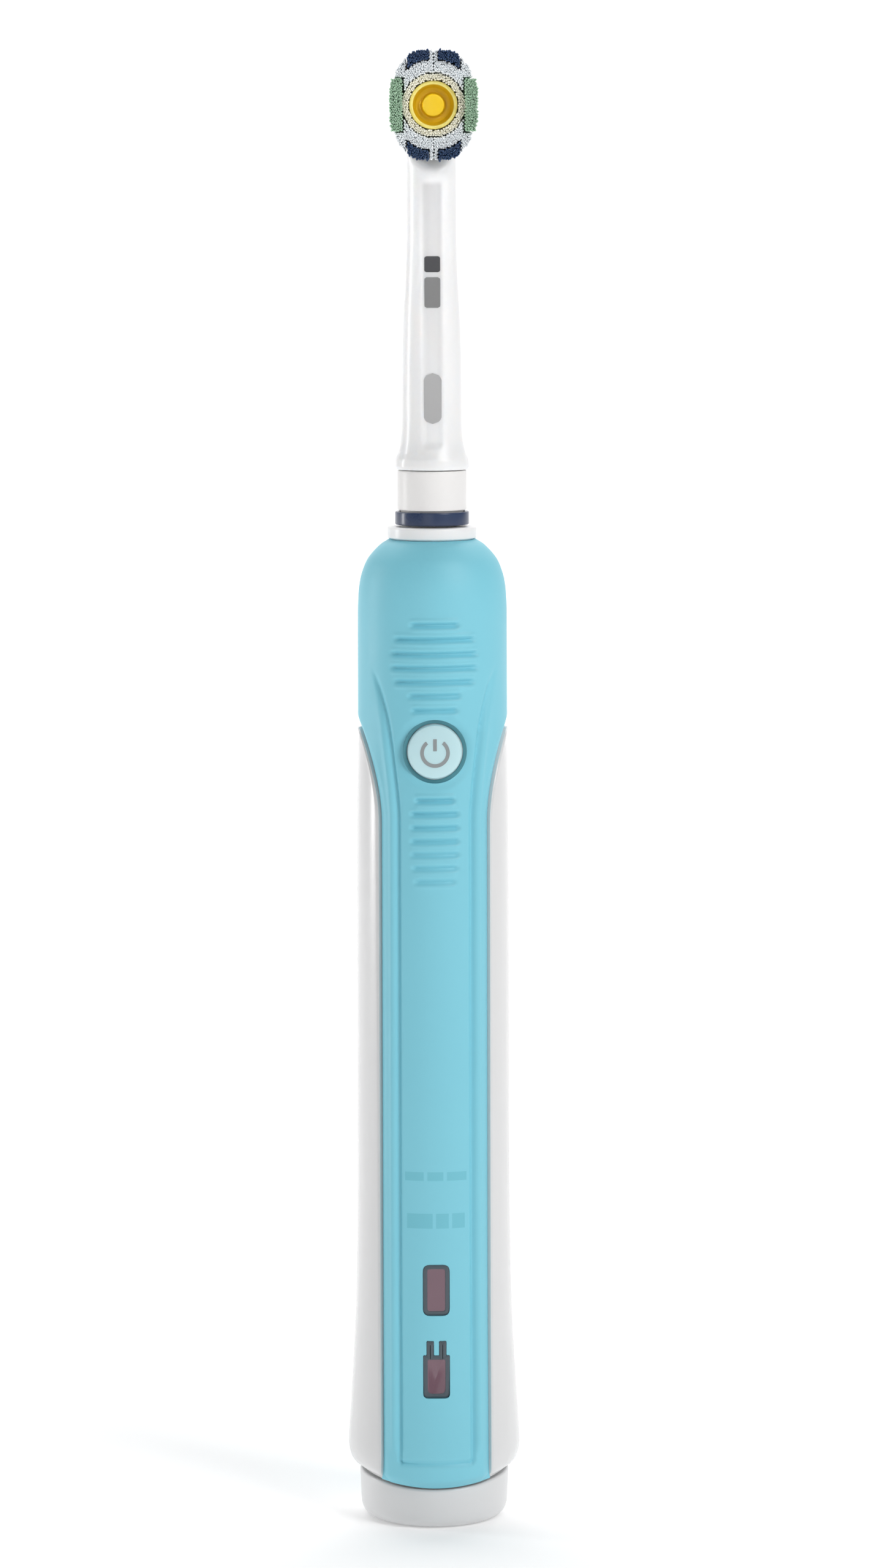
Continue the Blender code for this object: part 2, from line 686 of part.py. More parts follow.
# ---------------------------------------------------------------- brush head
def make_head(axis):
    """Neck and round head in one hollow moulding."""
    outside = [
        (4.5, NECK_FOOT_Z),
        (5.75, NECK_FOOT_Z),
        (5.9, NECK_FOOT_Z + 0.5),
        (5.85, 171.3),
        (5.35, 172.5),
        (4.95, 174.5),
        (4.75, 178.0),
        (4.72, 186.0),
        (4.5, 194.0),
        (4.1, 201.5),
        (3.95, 208.0),
        (3.95, 219.5),
        (3.2, 221.8),
        (2.6, 222.6),
    ]
    inside = [(2.2, 222.0), (2.2, 187.2), (3.3, 186.4), (3.3, 173.3), (4.5, 173.3)]
    head = add_piece("head_shell", turned(outside + [(2.2, 222.6)] + inside, 28), "white", parent=axis)
    bowl = [(0, -3.9), (3.6, -3.7), (5.3, -2.9), (CUP_R, -1.2), (CUP_R, CUP_FRONT), (0, CUP_FRONT)]
    join(
        head,
        add_piece("add_bowl", turned(bowl, 28), None, (0, 0, DISC_Z), flip_to_front(), axis),
    )
    throat = block((-2.6, -12, 219.9), (2.6, 1.0, 225.4))
    slope = prism([(CUP_FRONT, 218.9), (CUP_FRONT, 228), (9, 228), (9, 214), (4.4, 216.4)], -9, 9)
    slope.transform(Matrix(((0, 0, 1, 0), (-1, 0, 0, 0), (0, 1, 0, 0), (0, 0, 0, 1))))
    cut(
        head,
        add_piece("cut_rod_room", cylinder(2.2, 210, 222.0), None, parent=axis),
        add_piece("cut_throat", throat, None, parent=axis),
        add_piece("cut_neck_slope", slope, None, parent=axis),
        add_piece(
            "cut_axle_seat", cylinder(1.2, -3.0, 8.0, 20), None, (0, 0, DISC_Z), flip_to_front(), axis
        ),
    )


def make_collar(axis):
    outline = [
        (4.3, HEAD_BASE_Z),
        (5.0, HEAD_BASE_Z),
        (5.0, 163.3),
        (COLLAR_R, 163.3),
        (COLLAR_R, COLLAR_TOP),
        (4.2, COLLAR_TOP),
        (4.2, 173.0),
        (3.3, 173.0),
        (3.3, 162.8),
        (4.3, 162.8),
    ]
    add_piece("neck_base", turned(outline, 28), "white", parent=axis)
    ring = [(5.3, HEAD_BASE_Z), (5.75, HEAD_BASE_Z), (5.9, 161.2), (5.9, 162.75), (5.75, 163.0), (5.3, 163.0)]
    add_piece("id_ring", turned(ring, 28), "navy", parent=axis)


def make_link(head_axis):
    axis = add_axis("link_axis", (0, 0, 0), head_axis)
    sleeve = [(0, 184.9), (1.6, 184.4), (1.6, 163.5), (3.0, 163.5), (3.0, 185.2), (1.7, 186.8), (1.7, 221.6)]
    link = add_piece("drive_link", turned(sleeve + [(0, 221.6)], 24), "acetal", parent=axis)
    arm = block((-0.8, -LINK_OFFSET - 0.8, 220.0), (0.8, 0.5, 221.5))
    join(link, add_piece("add_link_arm", arm, None, parent=axis))
    pin_place = (0, -LINK_OFFSET, 0)
    cut(link, add_piece("cut_link_pin_seat", cylinder(0.45, 220.5, 223, 16), None, pin_place, parent=axis))
    root = [(0, 220.7), (0.35, 220.7), (0.35, 221.7)]
    pin = root + [(0.55, 221.7), (0.55, 224.8), (0.4, 225.0), (0, 225.0)]
    add_piece("link_pin", turned(pin, 16), "steel", pin_place, parent=axis)


def make_disc(head_axis):
    """The tuft carrier, modelled facing +Z and laid to face -Y on its own axis."""
    axis = add_axis("disc_axis", (0, 0, DISC_Z), head_axis)
    front = flip_to_front()
    outline = [rounded_oval(DISC_SEMI, 9 * i) for i in range(40)]
    plate = prism(outline, DISC_BACK, DISC_FRONT)
    disc = add_piece("bristle_disc", plate, "white", rotation=front, parent=axis)
    half_slot = [(0.85, -1.9), (0.9, -3.1), (2.6, -5.4), (3.4, -9.0)]
    slot = prism(half_slot + [(-x, y) for x, y in reversed(half_slot)], 1.0, 4.2)
    cut(
        disc,
        add_piece("cut_disc_bore", cylinder(1.15, 1.0, 4.5, 20), None, rotation=front, parent=axis),
        add_piece("cut_disc_slot", slot, None, rotation=front, parent=axis),
    )
    make_bristles(axis)
    pin = [(0, -2.7), (0.9, -2.7), (0.9, 4.0), (0.7, 4.2), (0, 4.2)]
    add_piece("disc_axle_pin", turned(pin, 20), "steel", (0, 0, DISC_Z), front, head_axis)


def rounded_oval(semi, degrees):
    """A point on an oval that is squarer than an ellipse."""
    across, up = math.cos(math.radians(degrees)), math.sin(math.radians(degrees))
    power = 2 / FIELD_SQUARE
    return (
        semi[0] * math.copysign(abs(across) ** power, across),
        semi[1] * math.copysign(abs(up) ** power, up),
    )


def field_arc(share, start, end, steps=5):
    """(share of the field, angle) pairs along part of the oval, both ends included."""
    return [(share, start + (end - start) * i / steps) for i in range(steps + 1)]


def make_bristles(axis):
    """Tufts as closed bundles, whose outer side leans out towards the tips."""
    low = DISC_FRONT + GAP
    middle_share = 0.66

    def bundle(name, edge, way, finish, tip):
        spread, rooted = [], []
        for share, degrees in edge:
            x, y = rounded_oval(FIELD_SEMI, degrees)
            at_root = share - FIELD_LEAN * (share - middle_share)
            spread.append((way[0] * x * share, way[1] * y * share))
            rooted.append((way[0] * x * at_root, way[1] * y * at_root))
        shape = prism(rooted, low, tip, spread)
        add_piece(name, shape, finish, rotation=flip_to_front(), parent=axis)

    blue = field_arc(1.0, 61, 86.5) + field_arc(0.80, 86.5, 61)
    green = field_arc(1.0, -22, 22) + field_arc(0.74, 22, -22)
    white = field_arc(0.97, 25, 59) + field_arc(0.77, 59, 87) + field_arc(middle_share, 87, 25)
    for number, way in enumerate(((1, 1), (-1, 1), (-1, -1), (1, -1)), 1):
        bundle(f"tuft_blue_{number}", blue, way, "bristle_blue", BRISTLE_TIP)
        bundle(f"tuft_white_{number}", white, way, "bristle_white", BRISTLE_TIP - 0.6)
    for number, way in enumerate(((1, 1), (-1, 1)), 1):
        bundle(f"tuft_green_{number}", green, way, "bristle_green", BRISTLE_TIP)
    ring = tube(CUP_OUTER_R + GAP, 4.85, low, BRISTLE_TIP - 1.4, 24)
    add_piece("tuft_ring", ring, "bristle_white", rotation=flip_to_front(), parent=axis)
    rim = BRISTLE_TIP - 2.0
    outside = [(0, low), (3.1, low), (CUP_OUTER_R, rim), (3.3, rim)]
    inside = [(2.9, rim - 1.2), (1.7, rim - 1.6), (1.6, rim - 0.6), (0, rim - 0.5)]
    cup = turned(outside + inside, 24)
    add_piece("polishing_cup", cup, "yellow_rubber", rotation=flip_to_front(), parent=axis)


def make_brush_head():
    axis = add_axis("head_axis", (0, 0, 0))
    make_head(axis)
    make_collar(axis)
    make_link(axis)
    make_disc(axis)


def main():
    clear_scene()
    for name, (colour, roughness, metallic) in PALETTE.items():
        MATERIALS[name] = new_material(name, colour, roughness, metallic)
    make_housing()
    make_overmould()
    make_light_guides()
    make_button()
    make_cap()
    make_charging_coil()
    make_chassis()
    make_battery()
    make_board()
    make_leads()
    make_motor()
    make_gear()
    make_bracket()
    make_shaft()
    make_bearings()
    make_brush_head()


main()
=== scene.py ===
"""Looks of the electric toothbrush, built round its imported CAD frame.

Lengths in the tables below are millimetres. new_piece() turns them into Blender's metres.
Lights are placed in metres. +Z is up, the button and the bristles face -Y.
"""
import json
import math
import random

import bmesh
import bpy
import numpy as np
from mathutils import Matrix, Vector


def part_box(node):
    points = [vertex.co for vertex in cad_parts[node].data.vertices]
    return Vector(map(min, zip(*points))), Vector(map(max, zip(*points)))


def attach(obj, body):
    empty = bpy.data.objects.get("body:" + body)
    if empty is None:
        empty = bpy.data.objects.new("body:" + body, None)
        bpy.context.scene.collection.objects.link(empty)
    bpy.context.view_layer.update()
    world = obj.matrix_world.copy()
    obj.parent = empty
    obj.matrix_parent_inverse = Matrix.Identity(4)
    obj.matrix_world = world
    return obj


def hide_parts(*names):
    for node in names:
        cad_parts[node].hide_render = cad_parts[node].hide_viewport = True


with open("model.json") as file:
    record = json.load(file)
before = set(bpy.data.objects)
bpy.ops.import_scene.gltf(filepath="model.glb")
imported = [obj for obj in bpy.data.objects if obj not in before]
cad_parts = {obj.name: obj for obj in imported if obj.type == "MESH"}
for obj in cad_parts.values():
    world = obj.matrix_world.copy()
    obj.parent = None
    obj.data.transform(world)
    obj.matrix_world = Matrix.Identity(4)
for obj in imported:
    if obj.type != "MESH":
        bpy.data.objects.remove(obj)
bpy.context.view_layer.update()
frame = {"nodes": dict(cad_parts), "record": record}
MM = 0.001

# ---- camera, from where the object is seen ----
CAMERA_DISTANCE = 864.0
CAMERA_HEIGHT = 218.0
CAMERA_TILT = 6.52  # degrees below the horizon
CAMERA_TURN = 1.9  # degrees that the brush's front is turned to the camera's right
CAMERA_ASIDE = 2.13  # the axis stands this far left of the camera's own axis
CAMERA_ROLL = -0.12
CAMERA_LENS = 124.6  # on the 36 mm long side


def node_mm(node):
    """Lowest and highest corner of a CAD node in millimetres."""
    low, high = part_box(node)
    return [v / MM for v in low], [v / MM for v in high]


# ---- handle, as the CAD has it ----
SEAM_Z = node_mm("housing_shell")[0][2]
SEAM_RISE = 1.75  # how much higher the seam is at the sides
WAVE_TOP = 13.0  # above this height nothing follows the seam's wave
WIDEST_R = node_mm("housing_shell")[1][0]
SKIN_TOP_Z = node_mm("grip_overmould")[1][2]
BORE_R = 9.6
PANEL_HALF = 9.0
WINDOW_TOP = 128.6
WINDOW_ARCH = 14.6
FLANGE_Z = 158.4  # above it the casing is bare, and it takes the neck's paler white as painted light on its lit top
NECK_R = 7.15
NECK_TOP = 160.65
BOSS_TOP = node_mm("housing_shell")[1][2]
SKIN = 0.85
PROFILE = [
    (SEAM_Z - 2.4, 12.3),
    (SEAM_Z, 12.75),
    (8.0, 13.27),
    (9.4, 13.64),
    (10.8, 13.84),
    (12.2, WIDEST_R),
    (17.0, 13.62),
    (22.2, 13.3),
    (37.4, 12.55),
    (57.0, 12.3),
    (90.0, 12.25),
    (115.0, 12.2),
    (132.0, 11.93),
    (146.8, 11.9),
    (150.0, 11.78),
    (152.2, 11.5),
    (154.0, 10.98),
    (155.4, 10.35),
    (156.7, 9.35),
    (157.7, 8.35),
    (SKIN_TOP_Z, 7.3),
]

# ---- button and windows ----
BUTTON_Z = 125.7
BUTTON_R = 4.35
WELL_R = 5.05


# ================================================================ numbers
def smooth(edge0, edge1, value):
    """0 below edge0, 1 above edge1, and a soft S between them."""
    t = np.clip((value - edge0) / (edge1 - edge0), 0.0, 1.0)
    return t * t * (3 - 2 * t)


def spline_through(points):
    """A monotone cubic through (x, y) points, as a function of x."""
    xs = np.array([p[0] for p in points], float)
    ys = np.array([p[1] for p in points], float)
    step = np.diff(xs)
    rise = np.diff(ys) / step
    slope = np.zeros(len(xs))
    slope[0], slope[-1] = rise[0], rise[-1]
    for i in range(1, len(xs) - 1):
        if rise[i - 1] * rise[i] > 0:
            a = 2 * step[i] + step[i - 1]
            b = step[i] + 2 * step[i - 1]
            slope[i] = (a + b) / (a / rise[i - 1] + b / rise[i])

    def value(x):
        x = np.clip(np.asarray(x, float), xs[0], xs[-1])
        i = np.clip(np.searchsorted(xs, x) - 1, 0, len(xs) - 2)
        t = (x - xs[i]) / step[i]
        return (
            ys[i] * (1 + 2 * t) * (1 - t) ** 2
            + step[i] * slope[i] * t * (1 - t) ** 2
            + ys[i + 1] * t * t * (3 - 2 * t)
            + step[i] * slope[i + 1] * t * t * (t - 1)
        )

    return value


handle_r = spline_through(PROFILE)


# ================================================================ meshes
def new_piece(name, verts, faces, merge=2e-7):
    """An object made from millimetre points. Points within merge metres become one."""
    mesh = bpy.data.meshes.new(name)
    mesh.from_pydata([tuple(v) for v in np.asarray(verts, float) * MM], [], [tuple(f) for f in faces])
    bm = bmesh.new()
    bm.from_mesh(mesh)
    if merge:
        bmesh.ops.remove_doubles(bm, verts=bm.verts, dist=merge)
    bmesh.ops.recalc_face_normals(bm, faces=bm.faces)
    bm.to_mesh(mesh)
    bm.free()
    piece = bpy.data.objects.new(name, mesh)
    bpy.context.collection.objects.link(piece)
    return piece


def build(name, verts, faces, material, body, replaces=(), sharp=40.0, merge=2e-7):
    """Make a finished piece, hang it on the body that it rides on, and hide the CAD parts that it
    replaces.
    """
    piece = new_piece(name, verts, faces, merge)
    piece.data.shade_smooth()
    piece.data.set_sharp_from_angle(angle=math.radians(sharp))
    piece.data.materials.append(material)
    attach(piece, body)
    if replaces:
        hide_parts(*replaces)
    return piece


def fillet(outline, radii, steps=5):
    """Round the corners of a closed 2-D outline. radii is one number or one for each corner."""
    count = len(outline)
    if isinstance(radii, (int, float)):
        radii = [radii] * count
    rounded = []
    for i, radius in enumerate(radii):
        here = Vector(outline[i])
        before = Vector(outline[i - 1]) - here
        after = Vector(outline[(i + 1) % count]) - here
        shortest = min(before.length, after.length)
        if radius <= 0 or shortest < 1e-9 or before.angle(after) > math.radians(175):
            rounded.append(tuple(here))
            continue
        reach = min(radius / math.tan(before.angle(after) / 2), 0.48 * shortest)
        start = here + before.normalized() * reach
        end = here + after.normalized() * reach
        for k in range(steps + 1):
            t = k / steps
            rounded.append(tuple(start * (1 - t) ** 2 + here * (2 * t * (1 - t)) + end * t * t))
    return rounded


def turned(outline, segments=96):
    """Points and faces of a closed (radius, z) outline turned round Z."""
    turns = np.arange(segments) * 2 * math.pi / segments
    verts = [(radius * math.cos(a), radius * math.sin(a), z) for radius, z in outline for a in turns]
    return np.array(verts), grid_faces(len(outline), segments, closed_columns=True, closed_rows=True)


def to_front(verts, z):
    """Lay points modelled along +Z so that they face -Y, centred at height z."""
    verts = np.asarray(verts, float)
    return np.column_stack([verts[:, 0], -verts[:, 2], verts[:, 1] + z])


def grid_faces(rows, columns, closed_columns=False, closed_rows=False):
    faces = []
    for r in range(rows if closed_rows else rows - 1):
        s = (r + 1) % rows
        for c in range(columns if closed_columns else columns - 1):
            d = (c + 1) % columns
            faces.append((r * columns + c, r * columns + d, s * columns + d, s * columns + c))
    return faces


# ================================================================ materials
def set_inputs(node, values):
    for socket, value in values.items():
        node.inputs[socket].default_value = value


def connect(tree, node, sources):
    for socket, source in sources.items():
        tree.links.new(source, node.inputs[socket])


def add_node(tree, kind, values, **sources):
    """A shader node with some inputs set and others fed by another node's output."""
    node = tree.nodes.new(f"ShaderNode{kind}")
    set_inputs(node, values)
    connect(tree, node, sources)
    return node


def new_material(name, values):
    """A material, its node tree and its shader with the given input values."""
    material = bpy.data.materials.new(name)
    material.use_nodes = True
    shader = material.node_tree.nodes["Principled BSDF"]
    set_inputs(shader, values)
    return material, material.node_tree, shader


def place_on_object(tree):
    return tree.nodes.new("ShaderNodeTexCoord").outputs["Object"]


def add_noise(tree, scale, detail):
    values = {"Scale": scale, "Detail": detail, "Roughness": 0.55}
    return add_node(tree, "TexNoise", values, Vector=place_on_object(tree)).outputs["Fac"]


def remap(tree, source, low, high):
    """Stretch the middle half of a 0 to 1 value over the range low to high."""
    values = {"From Min": 0.25, "From Max": 0.75, "To Min": low, "To Max": high}
    return add_node(tree, "MapRange", values, Value=source).outputs["Result"]


def blend_colours(tree, factor, first, second):
    mix = tree.nodes.new("ShaderNodeMix")
    mix.data_type = "RGBA"
    set_inputs(mix, {"A": (*first, 1.0), "B": (*second, 1.0)})
    connect(tree, mix, {"Factor": factor})
    return mix.outputs["Result"]


def moulded(name, colour, shade, rough, grain_mm=0.25, depth_mm=0.012, coat=0.0, ior=1.5, translucent=0.0):
    """Moulded plastic or rubber: a broad drift from colour to shade, patchy gloss and a fine grain."""
    values = {"IOR": ior, "Coat Weight": coat, "Coat Roughness": 0.14}
    if translucent:
        values |= {
            "Subsurface Weight": translucent,
            "Subsurface Radius": (1.0, 0.9, 0.8),
            "Subsurface Scale": 0.0012,
        }
    material, tree, shader = new_material(name, values)
    grain = add_noise(tree, 1.0 / (grain_mm * MM), 2.0)
    bump = add_node(tree, "Bump", {"Strength": 0.35, "Distance": depth_mm * MM}, Height=grain)
    connect(tree, shader, {
        "Base Color": blend_colours(tree, add_noise(tree, 45.0, 2.0), colour, shade),
        "Roughness": remap(tree, add_noise(tree, 160.0, 4.0), *rough),
        "Normal": bump.outputs["Normal"],
    })
    return material


def filament(name, root, tip, tip_depth):
    """Nylon bristles: painted shade makes them darker at the root, where they crowd together, and lighter
    towards the tips.
    """
    material, tree, shader = new_material(name, {
        "Subsurface Weight": 0.5,
        "Subsurface Radius": (1.0, 1.0, 1.0),
        "Subsurface Scale": 0.001,
    })
    split = add_node(tree, "SeparateXYZ", {}, Vector=place_on_object(tree))
    ends = {"From Min": -6.0 * MM, "From Max": -tip_depth * MM}
    along = add_node(tree, "MapRange", ends, Value=split.outputs["Y"])
    connect(tree, shader, {
        "Base Color": blend_colours(tree, along.outputs["Result"], root, tip),
        "Roughness": remap(tree, add_noise(tree, 900.0, 2.0), 0.28, 0.45),
    })
    return material


WHITE = moulded("white_moulding", (0.73, 0.73, 0.73), (0.71, 0.71, 0.715), (0.2, 0.25),
                depth_mm=0.003, coat=0.4)
CAP_WHITE = moulded("cap_moulding", (0.73, 0.735, 0.74), (0.70, 0.705, 0.71), (0.29, 0.35),
                    depth_mm=0.004, coat=0.15)
NECK_WHITE = moulded("neck_moulding", (0.89, 0.89, 0.89), (0.87, 0.87, 0.875), (0.29, 0.35),
                     depth_mm=0.004, coat=0.15, translucent=0.5)
COLLAR_WHITE = moulded("collar_moulding", (0.87, 0.855, 0.845), (0.84, 0.825, 0.815), (0.32, 0.4),
                       depth_mm=0.004)
BLUE = moulded("blue_soft_grip", (0.235, 0.635, 0.755), (0.22, 0.61, 0.735), (0.42, 0.5),
               grain_mm=0.18, depth_mm=0.008, ior=1.42)
# dark blue of the seal in the button's well: painted shade of the recess
BLUE_WELL_SHADE = moulded("blue_well_shade", (0.075, 0.26, 0.31), (0.065, 0.24, 0.29), (0.5, 0.6))
NAVY = moulded("navy_ring", (0.022, 0.042, 0.105), (0.018, 0.035, 0.09), (0.25, 0.36), coat=0.25)
BUTTON = moulded("button_pale", (0.58, 0.82, 0.86), (0.55, 0.79, 0.84), (0.32, 0.42), translucent=0.3)
MARK_GREY = moulded("mark_grey", (0.30, 0.33, 0.34), (0.27, 0.30, 0.31), (0.4, 0.5))
MARK_PALE = moulded("mark_pale", (0.43, 0.43, 0.43), (0.40, 0.40, 0.40), (0.4, 0.5))
MARK_DARK = moulded("mark_dark", (0.06, 0.06, 0.065), (0.05, 0.05, 0.055), (0.4, 0.5))
MARK_MID = moulded("mark_mid", (0.22, 0.22, 0.22), (0.2, 0.2, 0.2), (0.4, 0.5))
PRINT_BLUE = moulded("print_blue", (0.185, 0.56, 0.67), (0.175, 0.54, 0.65), (0.46, 0.58), ior=1.42)
LENS = moulded("smoked_lens", (0.20, 0.105, 0.135), (0.15, 0.09, 0.12), (0.14, 0.22), coat=0.4)
# lens rim: its own dark grey, darkened further as painted shade of the recess round the lens
LENS_RIM_AND_SHADE = moulded("lens_rim_and_shade", (0.075, 0.10, 0.12), (0.065, 0.09, 0.11), (0.3, 0.4))
YELLOW = moulded("yellow_cup", (0.82, 0.55, 0.004), (0.78, 0.52, 0.004), (0.35, 0.46), translucent=0.25)
# darker copy of the cup's yellow: painted shade inside the groove
CUP_GROOVE_SHADE = moulded("cup_groove_shade", (0.63, 0.385, 0.003), (0.60, 0.36, 0.003), (0.4, 0.5), translucent=0.2)
CUP_RIM = moulded("pale_cup_rim", (0.82, 0.72, 0.22), (0.78, 0.68, 0.19), (0.4, 0.5), translucent=0.3)
GREY_SEAL = moulded("grey_seal", (0.16, 0.165, 0.17), (0.14, 0.145, 0.15), (0.55, 0.7))
DISC_WHITE = moulded("disc_white", (0.82, 0.84, 0.86), (0.78, 0.81, 0.83), (0.3, 0.4), translucent=0.2)
# each bristle colour runs from a root darkened by painted shade to the tip's colour
BRISTLE_BLUE = filament("bristle_blue", (0.010, 0.024, 0.06), (0.018, 0.046, 0.115), 13.4)
BRISTLE_GREEN = filament("bristle_green", (0.18, 0.30, 0.19), (0.33, 0.52, 0.35), 13.4)
BRISTLE_WHITE = filament("bristle_white", (0.86, 0.92, 0.96), (0.92, 0.97, 1.0), 13.4)
BRISTLE_CREAM = filament("bristle_cream", (0.92, 0.86, 0.62), (0.97, 0.93, 0.74), 12.3)


# ================================================================ handle casing
def window_edge(z):
    """Half the width of the blue panel at height z, up to where it meets the silhouette."""
    z = np.asarray(z, float)
    radius = handle_r(z)
    start = WINDOW_TOP - WINDOW_ARCH
    rise = np.clip((z - start) / WINDOW_ARCH, 0.0, 1.0)
    half_depth = np.sqrt(np.maximum(radius**2 - PANEL_HALF**2, 0.0) * (1 - rise**2))
    return np.sqrt(np.maximum(radius**2 - half_depth**2, 0.0))


def edge_angle(z):
    """Angle of the panel's edge from the front, in radians."""
    return np.arcsin(np.clip(window_edge(z) / handle_r(z), 0.0, 1.0))


# The groove beside the front panel: its height and its distance from the middle line.
groove_x = spline_through([
    (8.0, 5.9),
    (115.0, 5.85),
    (119.0, 6.1),
    (123.6, 6.6),
    (127.0, 7.0),
    (130.4, 7.5),
    (133.5, 8.2),
    (136.0, 8.9),
    (140.0, 10.2),
])
GROOVE_FOOT = 11.3
GROOVE_END = (134.5, 139.5)  # the grooves fade out between these heights
# The grip lines: their heights and half lengths, from the top one down.
UPPER_RIBS = [
    (145.7, 3.9), (143.4, 6.4), (141.1, 6.9), (138.9, 6.9), (136.7, 6.4), (134.5, 4.2), (132.2, 3.7),
]
LOWER_RIBS = [(117.9 - 2.15 * i, half) for i, half in enumerate((3.2, 3.9, 3.9, 3.9, 3.9, 3.7, 3.3))]


def ridge(offset, height, half_width):
    """A rounded ridge, or a groove where height is negative, seen from offset beside it."""
    return height * np.exp(-((offset / half_width) ** 2))


def ribs(x, z, lines, depth, fade):
    """Fine grip lines across the panel, each a groove with a soft lip above and below."""
    relief = np.zeros_like(x)
    for place, (middle, half) in enumerate(lines):
        strength = depth * (1 - fade * place / (len(lines) - 1))
        off = (z - middle) / 0.36
        profile = ridge(off, -1.0, 1.0) + ridge(np.abs(off) - 2.1, 0.32, 0.9)
        relief += strength * profile * (1 - smooth(half - 0.7, half + 0.4, np.abs(x)))
    return relief


def groove_length(z):
    """1 where the long grooves run at full depth, 0 beyond their ends."""
    return smooth(GROOVE_FOOT - 0.3, GROOVE_FOOT + 0.3, z) * (1 - smooth(*GROOVE_END, z))


def front_relief(x, z):
    """How far the front panel's surface stands off the handle's profile."""
    beside = np.abs(x) - groove_x(z)
    relief = ridge(beside, -0.46, 0.34) * groove_length(z)
    relief += ridge(z - GROOVE_FOOT, -0.40, 0.33) * (1 - smooth(-0.2, 0.2, beside))
    relief += ridge(beside - 0.95, 0.32, 0.5) * smooth(12.0, 14.0, z) * (1 - smooth(125.0, 136.0, z))
    relief += ribs(x, z, UPPER_RIBS, 0.56, 0.1)
    relief += ribs(x, z, LOWER_RIBS, 0.58, 0.4)
    from_button = np.hypot(x, z - BUTTON_Z)
    return relief - 0.34 * (1 - smooth(WELL_R, WELL_R + 1.5, from_button))


def back_relief(x, z):
    """The back panel carries the same grooves and a long field of shallow grip bars."""
    across = np.abs(x)
    grooves = ridge(across - groove_x(z), -0.30, 0.33) * groove_length(z)
    pitch = 4.6
    bars = 0.18 * np.cos((z - 60.0) * 2 * math.pi / pitch).clip(0.0, 1.0) ** 2
    field = smooth(44.0, 50.0, z) * (1 - smooth(128.0, 134.0, z)) * (1 - smooth(3.6, 4.6, across))
    return grooves + bars * field


def from_window(z, angle, radius):
    """How far along the surface a point of the skin is from the edge of the white window."""
    depth = np.sqrt(np.maximum(radius**2 - PANEL_HALF**2, 1.0))
    across = radius * np.cos(angle) / depth
    rise = np.maximum(z - (WINDOW_TOP - WINDOW_ARCH), 0.0) / WINDOW_ARCH
    reach = np.hypot(across, rise)
    slope = np.hypot(across * np.sin(angle) / depth, rise / WINDOW_ARCH) / reach
    return (reach - 1) / np.maximum(slope, 0.02)


def shoulder(z, angle, radius):
    """The drop of the soft skin towards the white windows: a rounded bevel and a short wall."""
    from_edge = from_window(z, angle, radius)
    bevel = 0.8 * (1 - np.clip(from_edge / 2.1, 0.0, 1.0)) ** 1.6
    wall = 0.32 * (1 - smooth(0.0, 0.3, from_edge)) ** 2
    return -(bevel + wall)


def handle_rows():
    """Heights of the casing's rows: close where there are ribs, arches or curves."""
    stretches = [
        (SEAM_Z, WAVE_TOP, 0.3),
        (WAVE_TOP, 22.0, 0.9),
        (22.0, 44.0, 2.2),
        (44.0, 103.0, 0.55),
        (103.0, 120.0, 0.2),
        (120.0, WINDOW_TOP - 1.0, 0.28),
        (WINDOW_TOP - 1.0, WINDOW_TOP - 0.24, 0.12),
        (WINDOW_TOP - 0.24, WINDOW_TOP, 0.04),
        (WINDOW_TOP, 130.8, 0.11),
        (130.8, 149.0, 0.2),
        (149.0, SKIN_TOP_Z, 0.3),
    ]
    rows = []
    for low, high, step in stretches:
        count = max(1, int(round((high - low) / step)))
        rows += [low + (high - low) * i / count for i in range(count)]
    return np.array(rows + [SKIN_TOP_Z])


def seam_curl(above_seam):
    """How far the casing's lower edge rolls inward towards the seam."""
    return 0.72 * (1 - smooth(0.0, 1.6, above_seam))


def lift_to_seam(x, z, radius):
    """Squeeze the lowest rows up so that the first of them follows the wavy seam."""
    share = np.clip((WAVE_TOP - z) / (WAVE_TOP - SEAM_Z), 0.0, 1.0)
    return z + share * SEAM_RISE * (x / radius) ** 2


def crowded_ends(end, end_count, middle_count):
    """Places from -1 to 1 that crowd together within end of both ends."""
    near_end = end * np.linspace(0, 1, end_count) ** 1.3
    middle = np.linspace(end - 1, 1 - end, middle_count)[1:-1]
    return np.concatenate([near_end - 1, middle, (1 - near_end)[::-1]])


def skin_half(side):
    """Angles, heights and radii of the outer face of one half of the skin."""
    z, share = np.meshgrid(handle_rows(), crowded_ends(0.16, 15, 111), indexing="ij")
    angle = share * edge_angle(z)
    base = handle_r(z)
    z_seam = lift_to_seam(base * np.sin(angle), z, base)
    base = handle_r(z_seam)
    x = base * np.sin(angle)
    relief = front_relief(x, z_seam) if side < 0 else back_relief(x, z_seam)
    rolled_in = 0.315 * smooth(SKIN_TOP_Z - 0.8, SKIN_TOP_Z, z_seam) + seam_curl(z - SEAM_Z)
    radius = base + relief + shoulder(z_seam, angle, base) - rolled_in
    return angle, z_seam, radius, base


